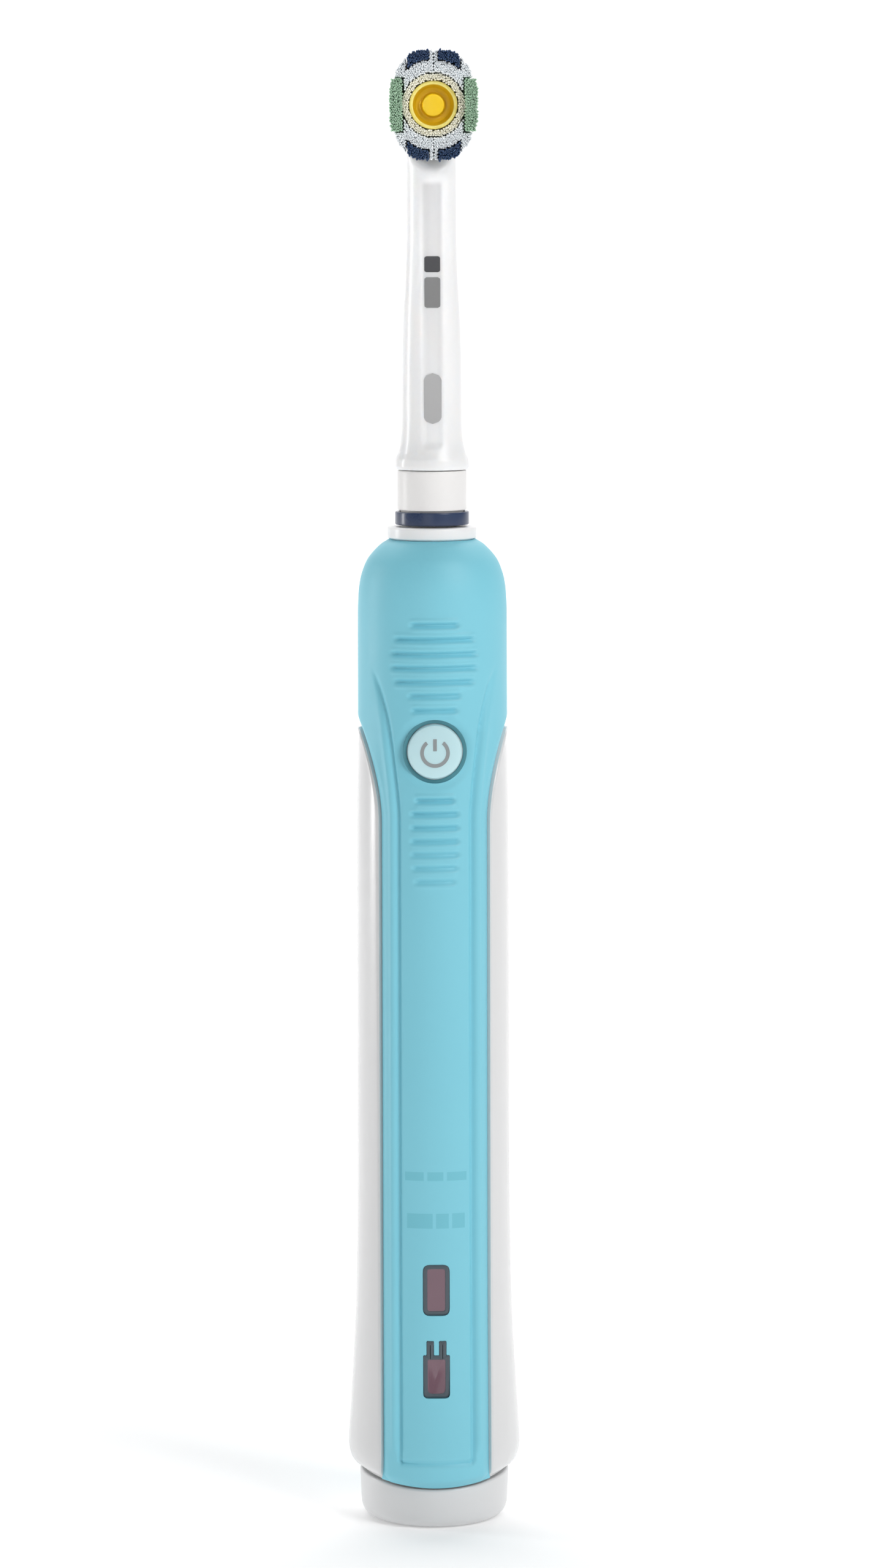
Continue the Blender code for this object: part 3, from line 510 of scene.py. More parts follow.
def build_skin():
    """The soft overmould: two heightfield halves that join above the white windows."""
    verts, faces = [], []
    for side in (-1, 1):
        angle, z, radius, base = skin_half(side)
        rows, columns = angle.shape
        for depth in (radius, base - SKIN):
            x = depth * np.sin(angle)
            y = side * depth * np.cos(angle)
            first = len(verts)
            verts += list(np.column_stack([x.ravel(), y.ravel(), z.ravel()]))
            faces += [tuple(first + i for i in f) for f in grid_faces(rows, columns)]
        outer = len(verts) - 2 * rows * columns
        inner = len(verts) - rows * columns
        for c in range(columns - 1):
            faces.append((outer + c, outer + c + 1, inner + c + 1, inner + c))
            last = (rows - 1) * columns
            faces.append((outer + last + c, outer + last + c + 1, inner + last + c + 1, inner + last + c))
        for r in range(rows - 1):
            if z[r, 0] >= WINDOW_TOP - 0.01 and z[r + 1, 0] >= WINDOW_TOP - 0.01:
                continue
            for c in (0, columns - 1):
                a, b = r * columns + c, (r + 1) * columns + c
                faces.append((outer + a, outer + b, inner + b, inner + a))
    return build("soft_grip", verts, faces, BLUE, "handle", ("grip_overmould",), 50.0)


def carve(piece, cutters):
    """Cut holes and keep the result in the mesh, so that no cutter stays in the scene."""
    for cutter in cutters:
        step = piece.modifiers.new("cut", "BOOLEAN")
        step.operation = "DIFFERENCE"
        step.solver = "EXACT"
        step.object = cutter
    deps = bpy.context.evaluated_depsgraph_get()
    mesh = bpy.data.meshes.new_from_object(piece.evaluated_get(deps))
    piece.modifiers.clear()
    old = piece.data
    piece.data = mesh
    bpy.data.meshes.remove(old)
    for cutter in cutters:
        bpy.data.objects.remove(cutter, do_unlink=True)
    mesh.shade_smooth()
    mesh.set_sharp_from_angle(angle=math.radians(50))


def prism_front(outline, near, far):
    """Points and faces of an (x, z) outline run from y = -near to y = -far."""
    count = len(outline)
    verts = [(x, -near, z) for x, z in outline] + [(x, -far, z) for x, z in outline]
    faces = [tuple(range(count)), tuple(range(count, 2 * count))]
    faces += [(i, (i + 1) % count, count + (i + 1) % count, count + i) for i in range(count)]
    return verts, faces


def circle(radius, centre=(0.0, 0.0), count=96):
    turns = [2 * math.pi * i / count for i in range(count)]
    return [(centre[0] + radius * math.cos(a), centre[1] + radius * math.sin(a)) for a in turns]


BATTERY_LOW, BATTERY_HIGH = node_mm("battery_window")
PLUG_LOW, PLUG_HIGH = node_mm("plug_window")
PLUG_SHOULDER = 28.7


def battery_outline(grow):
    left, right = BATTERY_LOW[0] - grow, BATTERY_HIGH[0] + grow
    low, high = BATTERY_LOW[2] - grow, BATTERY_HIGH[2] + grow
    return fillet([(left, low), (right, low), (right, high), (left, high)], max(1.0 + grow, 0.1), 5)


def plug_outline(grow):
    half = PLUG_HIGH[0] + grow
    outer, inner = 1.45 + grow, 0.55 - grow
    low, step, top = PLUG_LOW[2] - grow, PLUG_SHOULDER + grow, PLUG_HIGH[2] + grow
    right = [(half, low), (half, step), (outer, step), (outer, top), (inner, top), (inner, step)]
    left = [(-x, z) for x, z in reversed(right)]
    radii = [0.8, 0.6, 0.12, 0.2, 0.2, 0.12, 0.12, 0.2, 0.2, 0.12, 0.6, 0.8]
    return fillet(right + left, radii, 4)


def build_windows():
    """Light guides: a dark grey rim, darkened further as painted shade of the recess, and a smoked lens
    just below the skin.
    """
    for name, outline, z in (
        ("battery", battery_outline, (BATTERY_LOW[2] + BATTERY_HIGH[2]) / 2),
        ("plug", plug_outline, (PLUG_LOW[2] + PLUG_HIGH[2]) / 2),
    ):
        face = float(handle_r(z)) - 0.22
        count = len(outline(0.0))
        steps = [(0.09, 9.3), (0.09, face - 0.05), (0.01, face), (-0.5, face), (-0.58, face - 0.08)]
        verts = [(x, -depth, height) for grow, depth in steps for x, height in outline(grow)]
        faces = grid_faces(len(steps), count, closed_columns=True)
        last = (len(steps) - 1) * count
        faces += [tuple(range(count)), tuple(range(last, last + count))]
        node = f"{name}_window"
        piece = build(f"{node}_rim", verts, faces, LENS_RIM_AND_SHADE, "handle", (node,))
        piece.data.materials.append(LENS)
        for polygon in piece.data.polygons:
            is_lens = len(polygon.vertices) > 6 and polygon.center.y < -(face - 0.5) * MM
            polygon.material_index = int(is_lens)


def build_housing():
    """The white tube: flush side windows, a recess below the skin, seam, collar and bore."""
    rows = [z for z in handle_rows()[::2] if z < SKIN_TOP_Z - 1.0]
    rows = np.array(rows + [SKIN_TOP_Z - 0.8, SKIN_TOP_Z - 0.1])
    front = np.linspace(-1, 1, 49)
    across = crowded_ends(0.12, 9, 25)
    step = 0.04  # how far apart the foot and the top of the window's wall are

    def ring(z, inner=None):
        """One row of points all round: front recess, right window, back recess, left window."""
        half = float(edge_angle(z))
        radius = float(handle_r(z))
        open_side = z < WINDOW_TOP
        points = []
        for quarter, (middle, shares, spread) in enumerate((
            (-math.pi / 2, front, half - step / radius),
            (0.0, across, math.pi / 2 - half),
            (math.pi / 2, front, half - step / radius),
            (math.pi, across, math.pi / 2 - half),
        )):
            window = quarter % 2 == 1
            for share in shares:
                angle = middle + share * max(spread, 1e-5)
                distance = (1 - abs(share)) * spread * radius
                if inner is not None:
                    depth = inner
                elif window and open_side:
                    rounding = 0.2 * (1 - float(smooth(0.0, 0.5, distance))) ** 2
                    depth = radius - rounding - float(seam_curl(z - SEAM_Z))
                else:
                    depth = radius - SKIN - 0.1
                x, y = depth * math.cos(angle), depth * math.sin(angle)
                points.append((x, y, float(lift_to_seam(x, z, depth))))
        return points

    rings = [ring(z) for z in rows]
    count = len(rings[0])
    turns = [math.atan2(p[1], p[0]) for p in rings[-1]]

    def plain(radius, z):
        return [(radius * math.cos(a), radius * math.sin(a), z) for a in turns]

    flange = [(6.4, 158.55), (NECK_R, 158.9), (NECK_R, NECK_TOP)]
    boss = [(4.0, NECK_TOP), (4.0, BOSS_TOP), (3.4, BOSS_TOP)]
    collar = fillet(flange + boss, [0.0, 0.12, 0.35, 0.15, 0.25, 0.15], 4)
    rings += [plain(r, z) for r, z in collar]
    # Inside: the hole round the shaft, a wider seat below it, then the bore for the chassis.
    rings += [plain(3.4, 154.2), plain(4.5, 154.2), plain(4.5, 151.0), plain(BORE_R, 146.0)]
    rings += [ring(z, BORE_R) for z in rows[::-1][10::6]]
    rings.append(ring(rows[0], BORE_R))
    verts = [p for one in rings for p in one]
    faces = grid_faces(len(rings), count, closed_columns=True, closed_rows=True)
    housing = build("white_housing", verts, faces, WHITE, "handle", ("housing_shell",), 35.0)
    # The boss above FLANGE_Z gets the paler neck material: painted light where light falls on its top.
    housing.data.materials.append(NECK_WHITE)
    for polygon in housing.data.polygons:
        polygon.material_index = int(polygon.center.z > FLANGE_Z * MM)


def build_button():
    """A softly crowned button, its rolled seal, coloured dark as painted shade of the well, and a printed
    power sign.
    """
    face = -node_mm("power_button")[0][1]
    drops = ((0.0, 0.0), (2.2, 0.03), (3.6, 0.12), (4.15, 0.3), (BUTTON_R, 0.75))
    crown = [(radius, face - drop) for radius, drop in drops]
    stem = [(BUTTON_R, 10.6), (0.9, 10.6), (0.9, 9.55), (0.0, 9.55)]
    verts, faces = turned(crown + stem)
    verts = to_front(verts, BUTTON_Z)
    build("round_button", verts, faces, BUTTON, "button", ("power_button",))
    inner, outer = BUTTON_R + 0.1, WELL_R + 0.02
    verts, faces = turned(fillet([(inner, 10.9), (outer, 10.9), (outer, 11.35), (inner, 11.2)], 0.1, 3))
    build("button_seal", to_front(verts, BUTTON_Z), faces, BLUE_WELL_SHADE, "handle")
    power_sign(face)


def strip_slab(pairs, thickness):
    """A thin closed slab whose face runs through (left, right) pairs of points and looks to -Y."""
    count = len(pairs)
    top = [p for pair in pairs for p in pair]
    verts = top + [(x, y + thickness, z) for x, y, z in top]
    faces = []
    for i in range(count - 1):
        a = 2 * i
        faces.append((a, a + 1, a + 3, a + 2))
        faces.append(tuple(2 * count + v for v in (a, a + 1, a + 3, a + 2)))
        for side in (0, 1):
            faces.append((a + side, a + side + 2, a + side + 2 + 2 * count, a + side + 2 * count))
    for a in (0, 2 * count - 2):
        faces.append((a, a + 1, a + 1 + 2 * count, a + 2 * count))
    return verts, faces


def power_sign(face):
    """A generic stand-by sign: an open ring with a bar in its gap."""
    def on_crown(x, z):
        distance = math.hypot(x, z)
        return (x, -(face - 0.03 * (distance / 2.2) ** 2 + 0.02), BUTTON_Z - 0.15 + z)

    radius, half_width, gap = 2.05, 0.29, math.radians(38)
    ring = []
    for i in range(49):
        angle = math.pi / 2 + gap + (2 * math.pi - 2 * gap) * i / 48
        edges = (radius - half_width, radius + half_width)
        ring.append([on_crown(r * math.cos(angle), r * math.sin(angle)) for r in edges])
    bar = [[on_crown(x, z) for x in (-half_width, half_width)] for z in (0.3, 1.2, 2.2)]
    for name, pairs in (("power_sign_ring", ring), ("power_sign_bar", bar)):
        verts, faces = strip_slab(pairs, 0.03)
        build(name, verts, faces, MARK_GREY, "button")


def panel_dash(name, x_low, x_high, z_low, z_high):
    """A printed dash that follows the front panel's curve."""
    pairs = []
    for i in range(13):
        x = x_low + (x_high - x_low) * i / 12
        radii = [float(handle_r(z)) + 0.006 for z in (z_low, z_high)]
        pairs.append([(x, -math.sqrt(r**2 - x**2), z) for r, z in zip(radii, (z_low, z_high))])
    verts, faces = strip_slab(pairs, 0.02)
    build(name, verts, faces, PRINT_BLUE, "handle")


def build_dashes():
    """Two rows of plain dashes, printed tone on tone above the windows."""
    for row, (half, z_low, z_high, ends) in enumerate((
        (4.9, 57.0, 58.4, (0.0, 0.30, 0.36, 0.62, 0.68, 1.0)),
        (4.6, 49.3, 51.7, (0.0, 0.44, 0.50, 0.72, 0.78, 1.0)),
    ), 1):
        for number in range(len(ends) // 2):
            low, high = (half * (2 * ends[2 * number + i] - 1) for i in (0, 1))
            panel_dash(f"dash_{row}_{number + 1}", low, high, z_low, z_high)


def build_cap():
    """The bottom cap, its rim trimmed to the seam's wave."""
    gap, rim_z = 0.28, 9.0
    corners = [  # radius, z and the corner's rounding
        (4.0, 0.0, 0.35), (6.0, 0.0, 0.0), (11.75, 0.0, 3.2), (12.05, rim_z, 0.5), (9.3, rim_z, 0.0),
        (9.3, 10.7, 0.1), (8.2, 10.7, 0.0), (8.2, 12.3, 0.0), (9.3, 12.3, 0.1), (9.3, 15.0, 0.3),
        (7.6, 15.0, 0.2), (7.6, 3.0, 0.3), (5.2, 3.0, 0.3), (5.2, 15.8, 0.3), (0.0, 15.8, 0.0),
        (0.0, 14.6, 0.0), (4.0, 14.6, 0.3),
    ]
    outline = fillet([(r, z) for r, z, _ in corners], [rounding for _, _, rounding in corners], 8)
    verts, faces = turned(outline, 144)
    radius = np.hypot(verts[:, 0], verts[:, 1])
    rim = (radius > 9.29) & (verts[:, 2] > rim_z - 1.0) & (verts[:, 2] < rim_z + 0.1)
    wave = SEAM_Z - gap + SEAM_RISE * (verts[:, 0] / WIDEST_R) ** 2
    verts[rim, 2] += wave[rim] - rim_z
    build("end_cap", verts, faces, CAP_WHITE, "cap", ("bottom_cap",), 35.0)
    ring = [(8.95 + 0.45 * math.cos(a), 11.5 + 0.45 * math.sin(a)) for a in np.arange(16) * math.pi / 8]
    verts, faces = turned(ring)
    build("cap_seal_ring", verts, faces, GREY_SEAL, "cap", ("cap_o_ring",))


# ================================================================ brush head
DISC_Z = 227.1
DISC_HALF = (6.5, 7.75)
SQUARENESS = 2.6  # of the disc's oval: 2 is an ellipse, and higher values are squarer
NECK_PROFILE = [
    (169.75, 5.7),
    (170.2, 5.9),
    (171.2, 5.85),
    (172.5, 5.35),
    (174.5, 4.95),
    (178.0, 4.76),
    (186.0, 4.72),
    (194.0, 4.5),
    (201.5, 4.1),
    (208.0, 3.95),
    (220.0, 3.93),
    (222.0, 3.8),
    (226.0, 3.4),
]
neck_r = spline_through(NECK_PROFILE)


BOWL_R = 6.3  # of the round housing behind the disc
BOWL_FRONT = 1.9
BOWL_BACK = 3.9
DOME_Z, DOME_R = 222.4, 3.4  # the neck's rounded end inside that housing
STRIP_LOW, STRIP_HIGH = 172.9, 215.8  # of the scooped strip down the neck's front
STRIP_DEPTH = 0.42


def soft_max(a, b, width):
    """The larger of two values, rounded where they are within width of each other."""
    h = np.clip(0.5 + 0.5 * (a - b) / width, 0.0, 1.0)
    return b + (a - b) * h + width * h * (1 - h)


def neck_distance(x, y, z):
    """Signed distance, roughly, to the outside of the neck and the round head behind the disc."""
    tube = np.hypot(x, y) - neck_r(z)
    dome = soft_max(tube, np.hypot(np.hypot(x, y), np.maximum(z - DOME_Z, 0.0)) - DOME_R, 0.5)
    tube = np.where(z > 220.0, dome, tube)
    lift = smooth(216.0, 219.6, z)
    face = neck_r(z) + 0.6 - lift * (neck_r(z) + 0.6 - 1.75)
    tube = soft_max(tube, -y - face, 0.5)
    strip = smooth(STRIP_LOW, STRIP_LOW + 1.4, z) * (1 - smooth(STRIP_HIGH - 1.2, STRIP_HIGH, z))
    scoop = STRIP_DEPTH * strip * (1 - smooth(0.7, 2.0, np.abs(x)))
    tube = np.where(y < 0, tube + scoop * smooth(0.0, 1.5, -y), tube)
    spread = np.hypot(x, z - DISC_Z)
    back = BOWL_BACK - 3.1 * smooth(2.2, BOWL_R + 0.6, spread)
    bowl = soft_max(soft_max(spread - BOWL_R, y - back, 0.9), -y - BOWL_FRONT, 0.35)
    return -soft_max(-tube, -bowl, 1.5)


def paint_strip_shade(material):
    """Painted shade on the neck's front strip: grey it softly, darkest by the head, fading out towards the
    handle.
    """
    tree = material.node_tree
    split = add_node(tree, "SeparateXYZ", {}, Vector=place_on_object(tree))

    def band(source, start, end):
        """0 at start and 1 at end, in millimetres."""
        node = add_node(tree, "MapRange", {"From Min": start * MM, "From Max": end * MM}, Value=source)
        node.interpolation_type = "SMOOTHSTEP"
        return node.outputs["Result"]

    def combine(operation, *sources):
        node = tree.nodes.new("ShaderNodeMath")
        node.operation = operation
        connect(tree, node, dict(enumerate(sources)))
        return node.outputs["Value"]

    masks = [
        band(combine("ABSOLUTE", split.outputs["X"]), 1.85, 1.15),
        band(split.outputs["Y"], -2.4, -2.9),
        band(split.outputs["Z"], STRIP_HIGH - 0.2, STRIP_HIGH - 1.4),
        band(split.outputs["Z"], STRIP_LOW - 12.0, STRIP_HIGH),
    ]
    shade = masks[0]
    for mask in masks[1:]:
        shade = combine("MULTIPLY", shade, mask)
    surface = tree.nodes["Principled BSDF"].inputs["Base Color"]
    plain = surface.links[0].from_socket
    # painted shade: the mask mixes the strip's own colour towards grey
    shaded = blend_colours(tree, shade, (0.0, 0.0, 0.0), (0.70, 0.70, 0.70))
    connect(tree, shaded.node, {"A": plain})
    tree.links.new(shaded, surface)


def build_neck():
    """Neck and head as one blended moulding, hollowed for the shaft, the link and the disc's axle."""
    columns = 160
    rows = np.concatenate([
        np.arange(169.75, 175.0, 0.22),
        np.arange(175.0, 213.0, 1.0),
        np.arange(213.0, 220.0, 0.3),
        np.arange(220.0, 233.2, 0.2),
        [233.25, 233.32],
    ])
    z, turn = np.meshgrid(rows, 2 * math.pi * np.arange(columns) / columns, indexing="ij")
    inner, outer = np.zeros_like(z), np.full_like(z, 9.0)
    for _ in range(34):  # halve the distance to the surface
        middle = 0.5 * (inner + outer)
        inside = neck_distance(middle * np.sin(turn), -middle * np.cos(turn), z) < 0
        inner = np.where(inside, middle, inner)
        outer = np.where(inside, outer, middle)
    verts = np.column_stack([(inner * np.sin(turn)).ravel(), (-inner * np.cos(turn)).ravel(), z.ravel()])
    faces = grid_faces(len(rows), columns, closed_columns=True)
    last = (len(rows) - 1) * columns
    faces += [tuple(range(columns)), tuple(range(last, last + columns))]
    neck = build("neck_and_head", verts, faces, NECK_WHITE, "brush_head", ("head_shell",), 40.0)
    mouth = [(0, 168.0), (4.5, 168.0), (4.5, 173.3), (3.3, 173.3)]
    bore_verts, bore_faces = turned(mouth + [(3.3, 186.4), (2.2, 187.2), (2.2, 222.0), (0, 222.0)], 48)
    axle_verts, axle_faces = turned([(0, -3.0), (1.2, -3.0), (1.2, 8.0), (0, 8.0)], 48)
    link_room = [(-2.6, 219.9), (2.6, 219.9), (2.6, 225.4), (-2.6, 225.4)]
    carve(neck, [
        new_piece("bore", bore_verts, bore_faces),
        new_piece("link_room", *prism_front(link_room, -1.0, 12.0)),
        new_piece("axle_hole", to_front(axle_verts, DISC_Z), axle_faces),
    ])
    paint_strip_shade(NECK_WHITE)


def neck_patch(name, z_low, z_high, half, corner, material):
    """A plain printed shape in the neck's scooped front strip."""
    pairs = []
    for i in range(25):
        z = z_low + (z_high - z_low) * i / 24
        end = min(i, 24 - i) / 24 * (z_high - z_low)
        inset = corner - math.sqrt(max(corner**2 - max(corner - end, 0.0) ** 2, 0.0))
        y = -(float(neck_r(z)) - STRIP_DEPTH + 0.015)
        pairs.append([(x, y, z) for x in (-(half - inset), half - inset)])
    verts, faces = strip_slab(pairs, 0.04)
    build(name, verts, faces, material, "brush_head")


def build_collar():
    """The neck's foot: an insert that shows below the neck, and the coloured ring round it."""
    outside = [(4.3, 160.95), (5.0, 160.95), (5.0, 163.3), (5.55, 163.3), (5.55, 169.6)]
    inside = [(4.2, 169.6), (4.2, 173.0), (3.3, 173.0), (3.3, 162.8), (4.3, 162.8)]
    verts, faces = turned(fillet(outside + inside, [0.1, 0.1, 0, 0.2, 0.3, 0, 0.1, 0.1, 0, 0]))
    build("neck_collar", verts, faces, COLLAR_WHITE, "brush_head", ("neck_base",))
    ring = [(5.3, 160.95), (5.9, 160.95), (5.9, 163.05), (5.3, 163.05)]
    verts, faces = turned(fillet(ring, [0.05, 0.22, 0.22, 0.05]))
    build("colour_ring", verts, faces, NAVY, "brush_head", ("id_ring",))


def oval(share, count):
    """Points round the disc's outline, made smaller by share. It is squarer than an ellipse."""
    points = []
    for i in range(count):
        across, up = math.cos(2 * math.pi * i / count), math.sin(2 * math.pi * i / count)
        x = DISC_HALF[0] * math.copysign(abs(across) ** (2 / SQUARENESS), across)
        z = DISC_HALF[1] * math.copysign(abs(up) ** (2 / SQUARENESS), up)
        points.append((share * x, share * z))
    return points


def build_disc():
    """The oval tuft carrier with rounded edges and the slot for the link's pin."""
    count = 120
    back = [(0.0, 2.2), (0.93, 2.2), (0.97, 2.3), (1.0, 2.6)]
    steps = back + [(1.0, 4.9), (0.985, 5.2), (0.955, 5.4), (0.0, 5.4)]
    verts = [(x, -depth, DISC_Z + z) for share, depth in steps for x, z in oval(share, count)]
    faces = grid_faces(len(steps), count, closed_columns=True)
    disc = build("tuft_carrier", verts, faces, DISC_WHITE, "disc", ("bristle_disc",))
    half = [(0.85, -1.9), (0.9, -3.1), (2.6, -5.4), (3.4, -9.0)]
    slot = [(x, DISC_Z + z) for x, z in half + [(-x, z) for x, z in reversed(half)]]
    bore, bore_faces = turned([(0, 1.0), (1.15, 1.0), (1.15, 4.5), (0, 4.5)], 48)
    carve(disc, [
        new_piece("pin_slot", *prism_front(slot, 1.0, 4.2)),
        new_piece("axle_bore", to_front(bore, DISC_Z), bore_faces),
    ])


FILAMENT_SPACING = 0.285
FILAMENT_R = 0.135
FILAMENT_ROOT = 5.35
# Places along a filament and its width there, so that it stays thick to just below its tip.
FILAMENT_LEVELS = [(0.0, 1.3), (0.965, 1.3), (0.98, 1.1), (0.99, 1.1), (0.998, 0.85)]


def one_filament(x, z, length, sway, lean):
    """Points and faces of a six-sided filament whose tip is at x, z before it sways."""
    sides = 6
    verts = []
    for along, width in FILAMENT_LEVELS:
        share = 1 - lean * (1 - along)
        middle = (x * share + sway[0] * along**2, z * share + sway[1] * along**2)
        y = -(FILAMENT_ROOT + (length - FILAMENT_ROOT) * along)
        verts += [(px, y, DISC_Z + pz) for px, pz in circle(FILAMENT_R * width, middle, sides)]
    faces = grid_faces(len(FILAMENT_LEVELS), sides, closed_columns=True)
    last = (len(FILAMENT_LEVELS) - 1) * sides
    return verts, faces + [tuple(range(last, last + sides)), tuple(range(sides))]


def build_filaments(name, keep, material, replaces, tip, lean, seed):
    """A tuft of separate filaments, leaning out a little, that touch each other below their tips."""
    draw = random.Random(seed)
    verts, faces = [], []
    row_step = FILAMENT_SPACING * 0.866
    rows = int(20 / row_step)
    for r in range(-rows // 2, rows // 2 + 1):
        for c in range(-32, 33):
            x, z = (c + 0.5 * (r % 2)) * FILAMENT_SPACING, r * row_step
            if not keep(x, z):
                continue
            x += draw.uniform(-0.05, 0.05)
            z += draw.uniform(-0.05, 0.05)
            length = tip - draw.uniform(0.0, 0.15)
            sway = (draw.uniform(-0.05, 0.05), draw.uniform(-0.05, 0.05))
            first = len(verts)
            more_verts, more_faces = one_filament(x, z, length, sway, lean)
            verts += more_verts
            faces += [tuple(first + i for i in face) for face in more_faces]
    build(name, verts, faces, material, "disc", replaces, 35.0, merge=0.0)


FIELD = (7.0, 8.8)  # half the width and half the height of the bristle field
CUP_RING = 4.9
GREEN_EDGE = (4.85, 4.15)  # nearest the middle, and half the height
BLUE_ARC = (0.8, 4.1)  # nearest and furthest from the middle line
BLUE_INSIDE = 0.805  # share of the field's size at the arcs' inner edge


def field_share(x, z):
    """Which share of the field's size passes through this place."""
    return ((abs(x) / FIELD[0]) ** SQUARENESS + (abs(z) / FIELD[1]) ** SQUARENESS) ** (1 / SQUARENESS)


def in_blue(x, z, margin=0.0):
    across = BLUE_ARC[0] - margin < abs(x) < BLUE_ARC[1] + margin
    return across and abs(z) > GREEN_EDGE[1] and field_share(x, z) > BLUE_INSIDE - margin / 8


def in_green(x, z, margin=0.0):
    return abs(x) > GREEN_EDGE[0] - margin and abs(z) < GREEN_EDGE[1] + margin


def build_bristles():
    quarters = ((1, 1), (-1, 1), (-1, -1), (1, -1))

    def own_side(x, z, side):
        return x * side[0] > 0 and z * side[1] > 0

    for number, side in enumerate(quarters, 1):
        def blue(x, z, side=side):
            return own_side(x, z, side) and field_share(x, z) < 0.985 and in_blue(x, z)

        build_filaments(f"blue_tuft_{number}", blue, BRISTLE_BLUE,
                        (f"tuft_blue_{number}",), 13.3, 0.07, number)

        def fill(x, z, side=side):
            clear = not in_blue(x, z, 0.22) and not in_green(x, z, 0.25)
            inside = field_share(x, z) < 0.955 and math.hypot(x, z) > CUP_RING + 0.2
            return own_side(x, z, side) and inside and clear

        build_filaments(f"white_tuft_{number}", fill, BRISTLE_WHITE,
                        (f"tuft_white_{number}",), 12.7, 0.05, 20 + number)

    for number, way in enumerate((1, -1), 1):
        def green(x, z, way=way):
            return x * way > 0 and field_share(x, z) < 0.995 and in_green(x, z)

        build_filaments(f"green_tuft_{number}", green, BRISTLE_GREEN,
                        (f"tuft_green_{number}",), 13.3, 0.06, 10 + number)

    def ring(x, z):
        return 3.95 <= math.hypot(x, z) <= CUP_RING

    build_filaments("cup_bristles", ring, BRISTLE_CREAM, ("tuft_ring",), 12.3, 0.0, 40)


def build_cup():
    """The polishing cup: an outer wall, a groove painted darker as shade, and a central stud."""
    rim = 11.4
    wall = [(0.0, 5.6), (3.1, 5.6), (3.8, rim), (3.25, rim)]
    stud = [(2.75, rim - 1.3), (1.95, rim - 1.7), (1.7, rim - 0.45), (0.0, rim - 0.35)]
    verts, faces = turned(fillet(wall + stud, [0, 0.3, 0.22, 0.2, 0.4, 0.3, 0.3, 0]))
    verts = to_front(verts, DISC_Z)
    cup = build("rubber_cup", verts, faces, YELLOW, "disc", ("polishing_cup",))
    cup.data.materials.append(CUP_GROOVE_SHADE)
    cup.data.materials.append(CUP_RIM)
    for polygon in cup.data.polygons:
        x, y, z = polygon.center / MM
        distance = math.hypot(x, z - DISC_Z)
        if distance > 3.15:
            polygon.material_index = 2
        # the groove's inside takes the darker amber: painted shade
        elif distance > 1.72 and y > -(rim - 0.3):
            polygon.material_index = 1


# ================================================================ shaft and inner parts
FLAT_FOOT = 169.8
FLAT_X = 0.8


def build_shaft():
    """The drive shaft: a thinner foot, a round stem and a flat that the brush head slides onto."""
    low, high = node_mm("drive_shaft")
    radius, foot, top = high[0], low[2], high[2]
    columns = 64
    rows = [(0.0, foot), (1.0, foot), (1.0, 111.0), (radius, 111.0), (radius, 169.5), (radius, 170.1)]
    rows += [(radius, top - 0.5), (radius - 0.5, top), (0.0, top)]
    verts = []
    for r, z in rows:
        for x, y in circle(r, count=columns):
            if z > FLAT_FOOT:
                x = min(x, FLAT_X)
            verts.append((x, y, z))
    faces = grid_faces(len(rows), columns, closed_columns=True)
    steel = metal("shaft_steel", (0.56, 0.57, 0.58), 0.24)
    build("steel_shaft", verts, faces, steel, "shaft", ("drive_shaft",))


def metal(name, colour, rough):
    """Ground or drawn metal with fine streaks along its length."""
    material, tree, shader = new_material(name, {"Metallic": 1.0})
    stretch = add_node(tree, "Mapping", {"Scale": (4000.0, 4000.0, 160.0)}, Vector=place_on_object(tree))
    noise = add_node(tree, "TexNoise", {"Scale": 1.0}, Vector=stretch.outputs["Vector"])
    streaks = noise.outputs["Fac"]
    darker = tuple(c * 0.85 for c in colour)
    connect(tree, shader, {
        "Base Color": blend_colours(tree, streaks, colour, darker),
        "Roughness": remap(tree, streaks, rough - 0.06, rough + 0.1),
    })
    return material


def wound_copper(name, colour, rough, pitch_mm):
    """Enamelled wire laid side by side, as fine ridges round the Z axis."""
    material = metal(name, colour, rough)
    tree = material.node_tree
    scale = 2 * math.pi / (20 * pitch_mm * MM)
    turns = add_node(tree, "TexWave", {"Scale": scale}, Vector=place_on_object(tree))
    turns.bands_direction = "Z"
    height = {"Strength": 1.0, "Distance": 0.25 * pitch_mm * MM}
    ridges = add_node(tree, "Bump", height, Height=turns.outputs["Fac"])
    connect(tree, tree.nodes["Principled BSDF"], {"Normal": ridges.outputs["Normal"]})
    return material


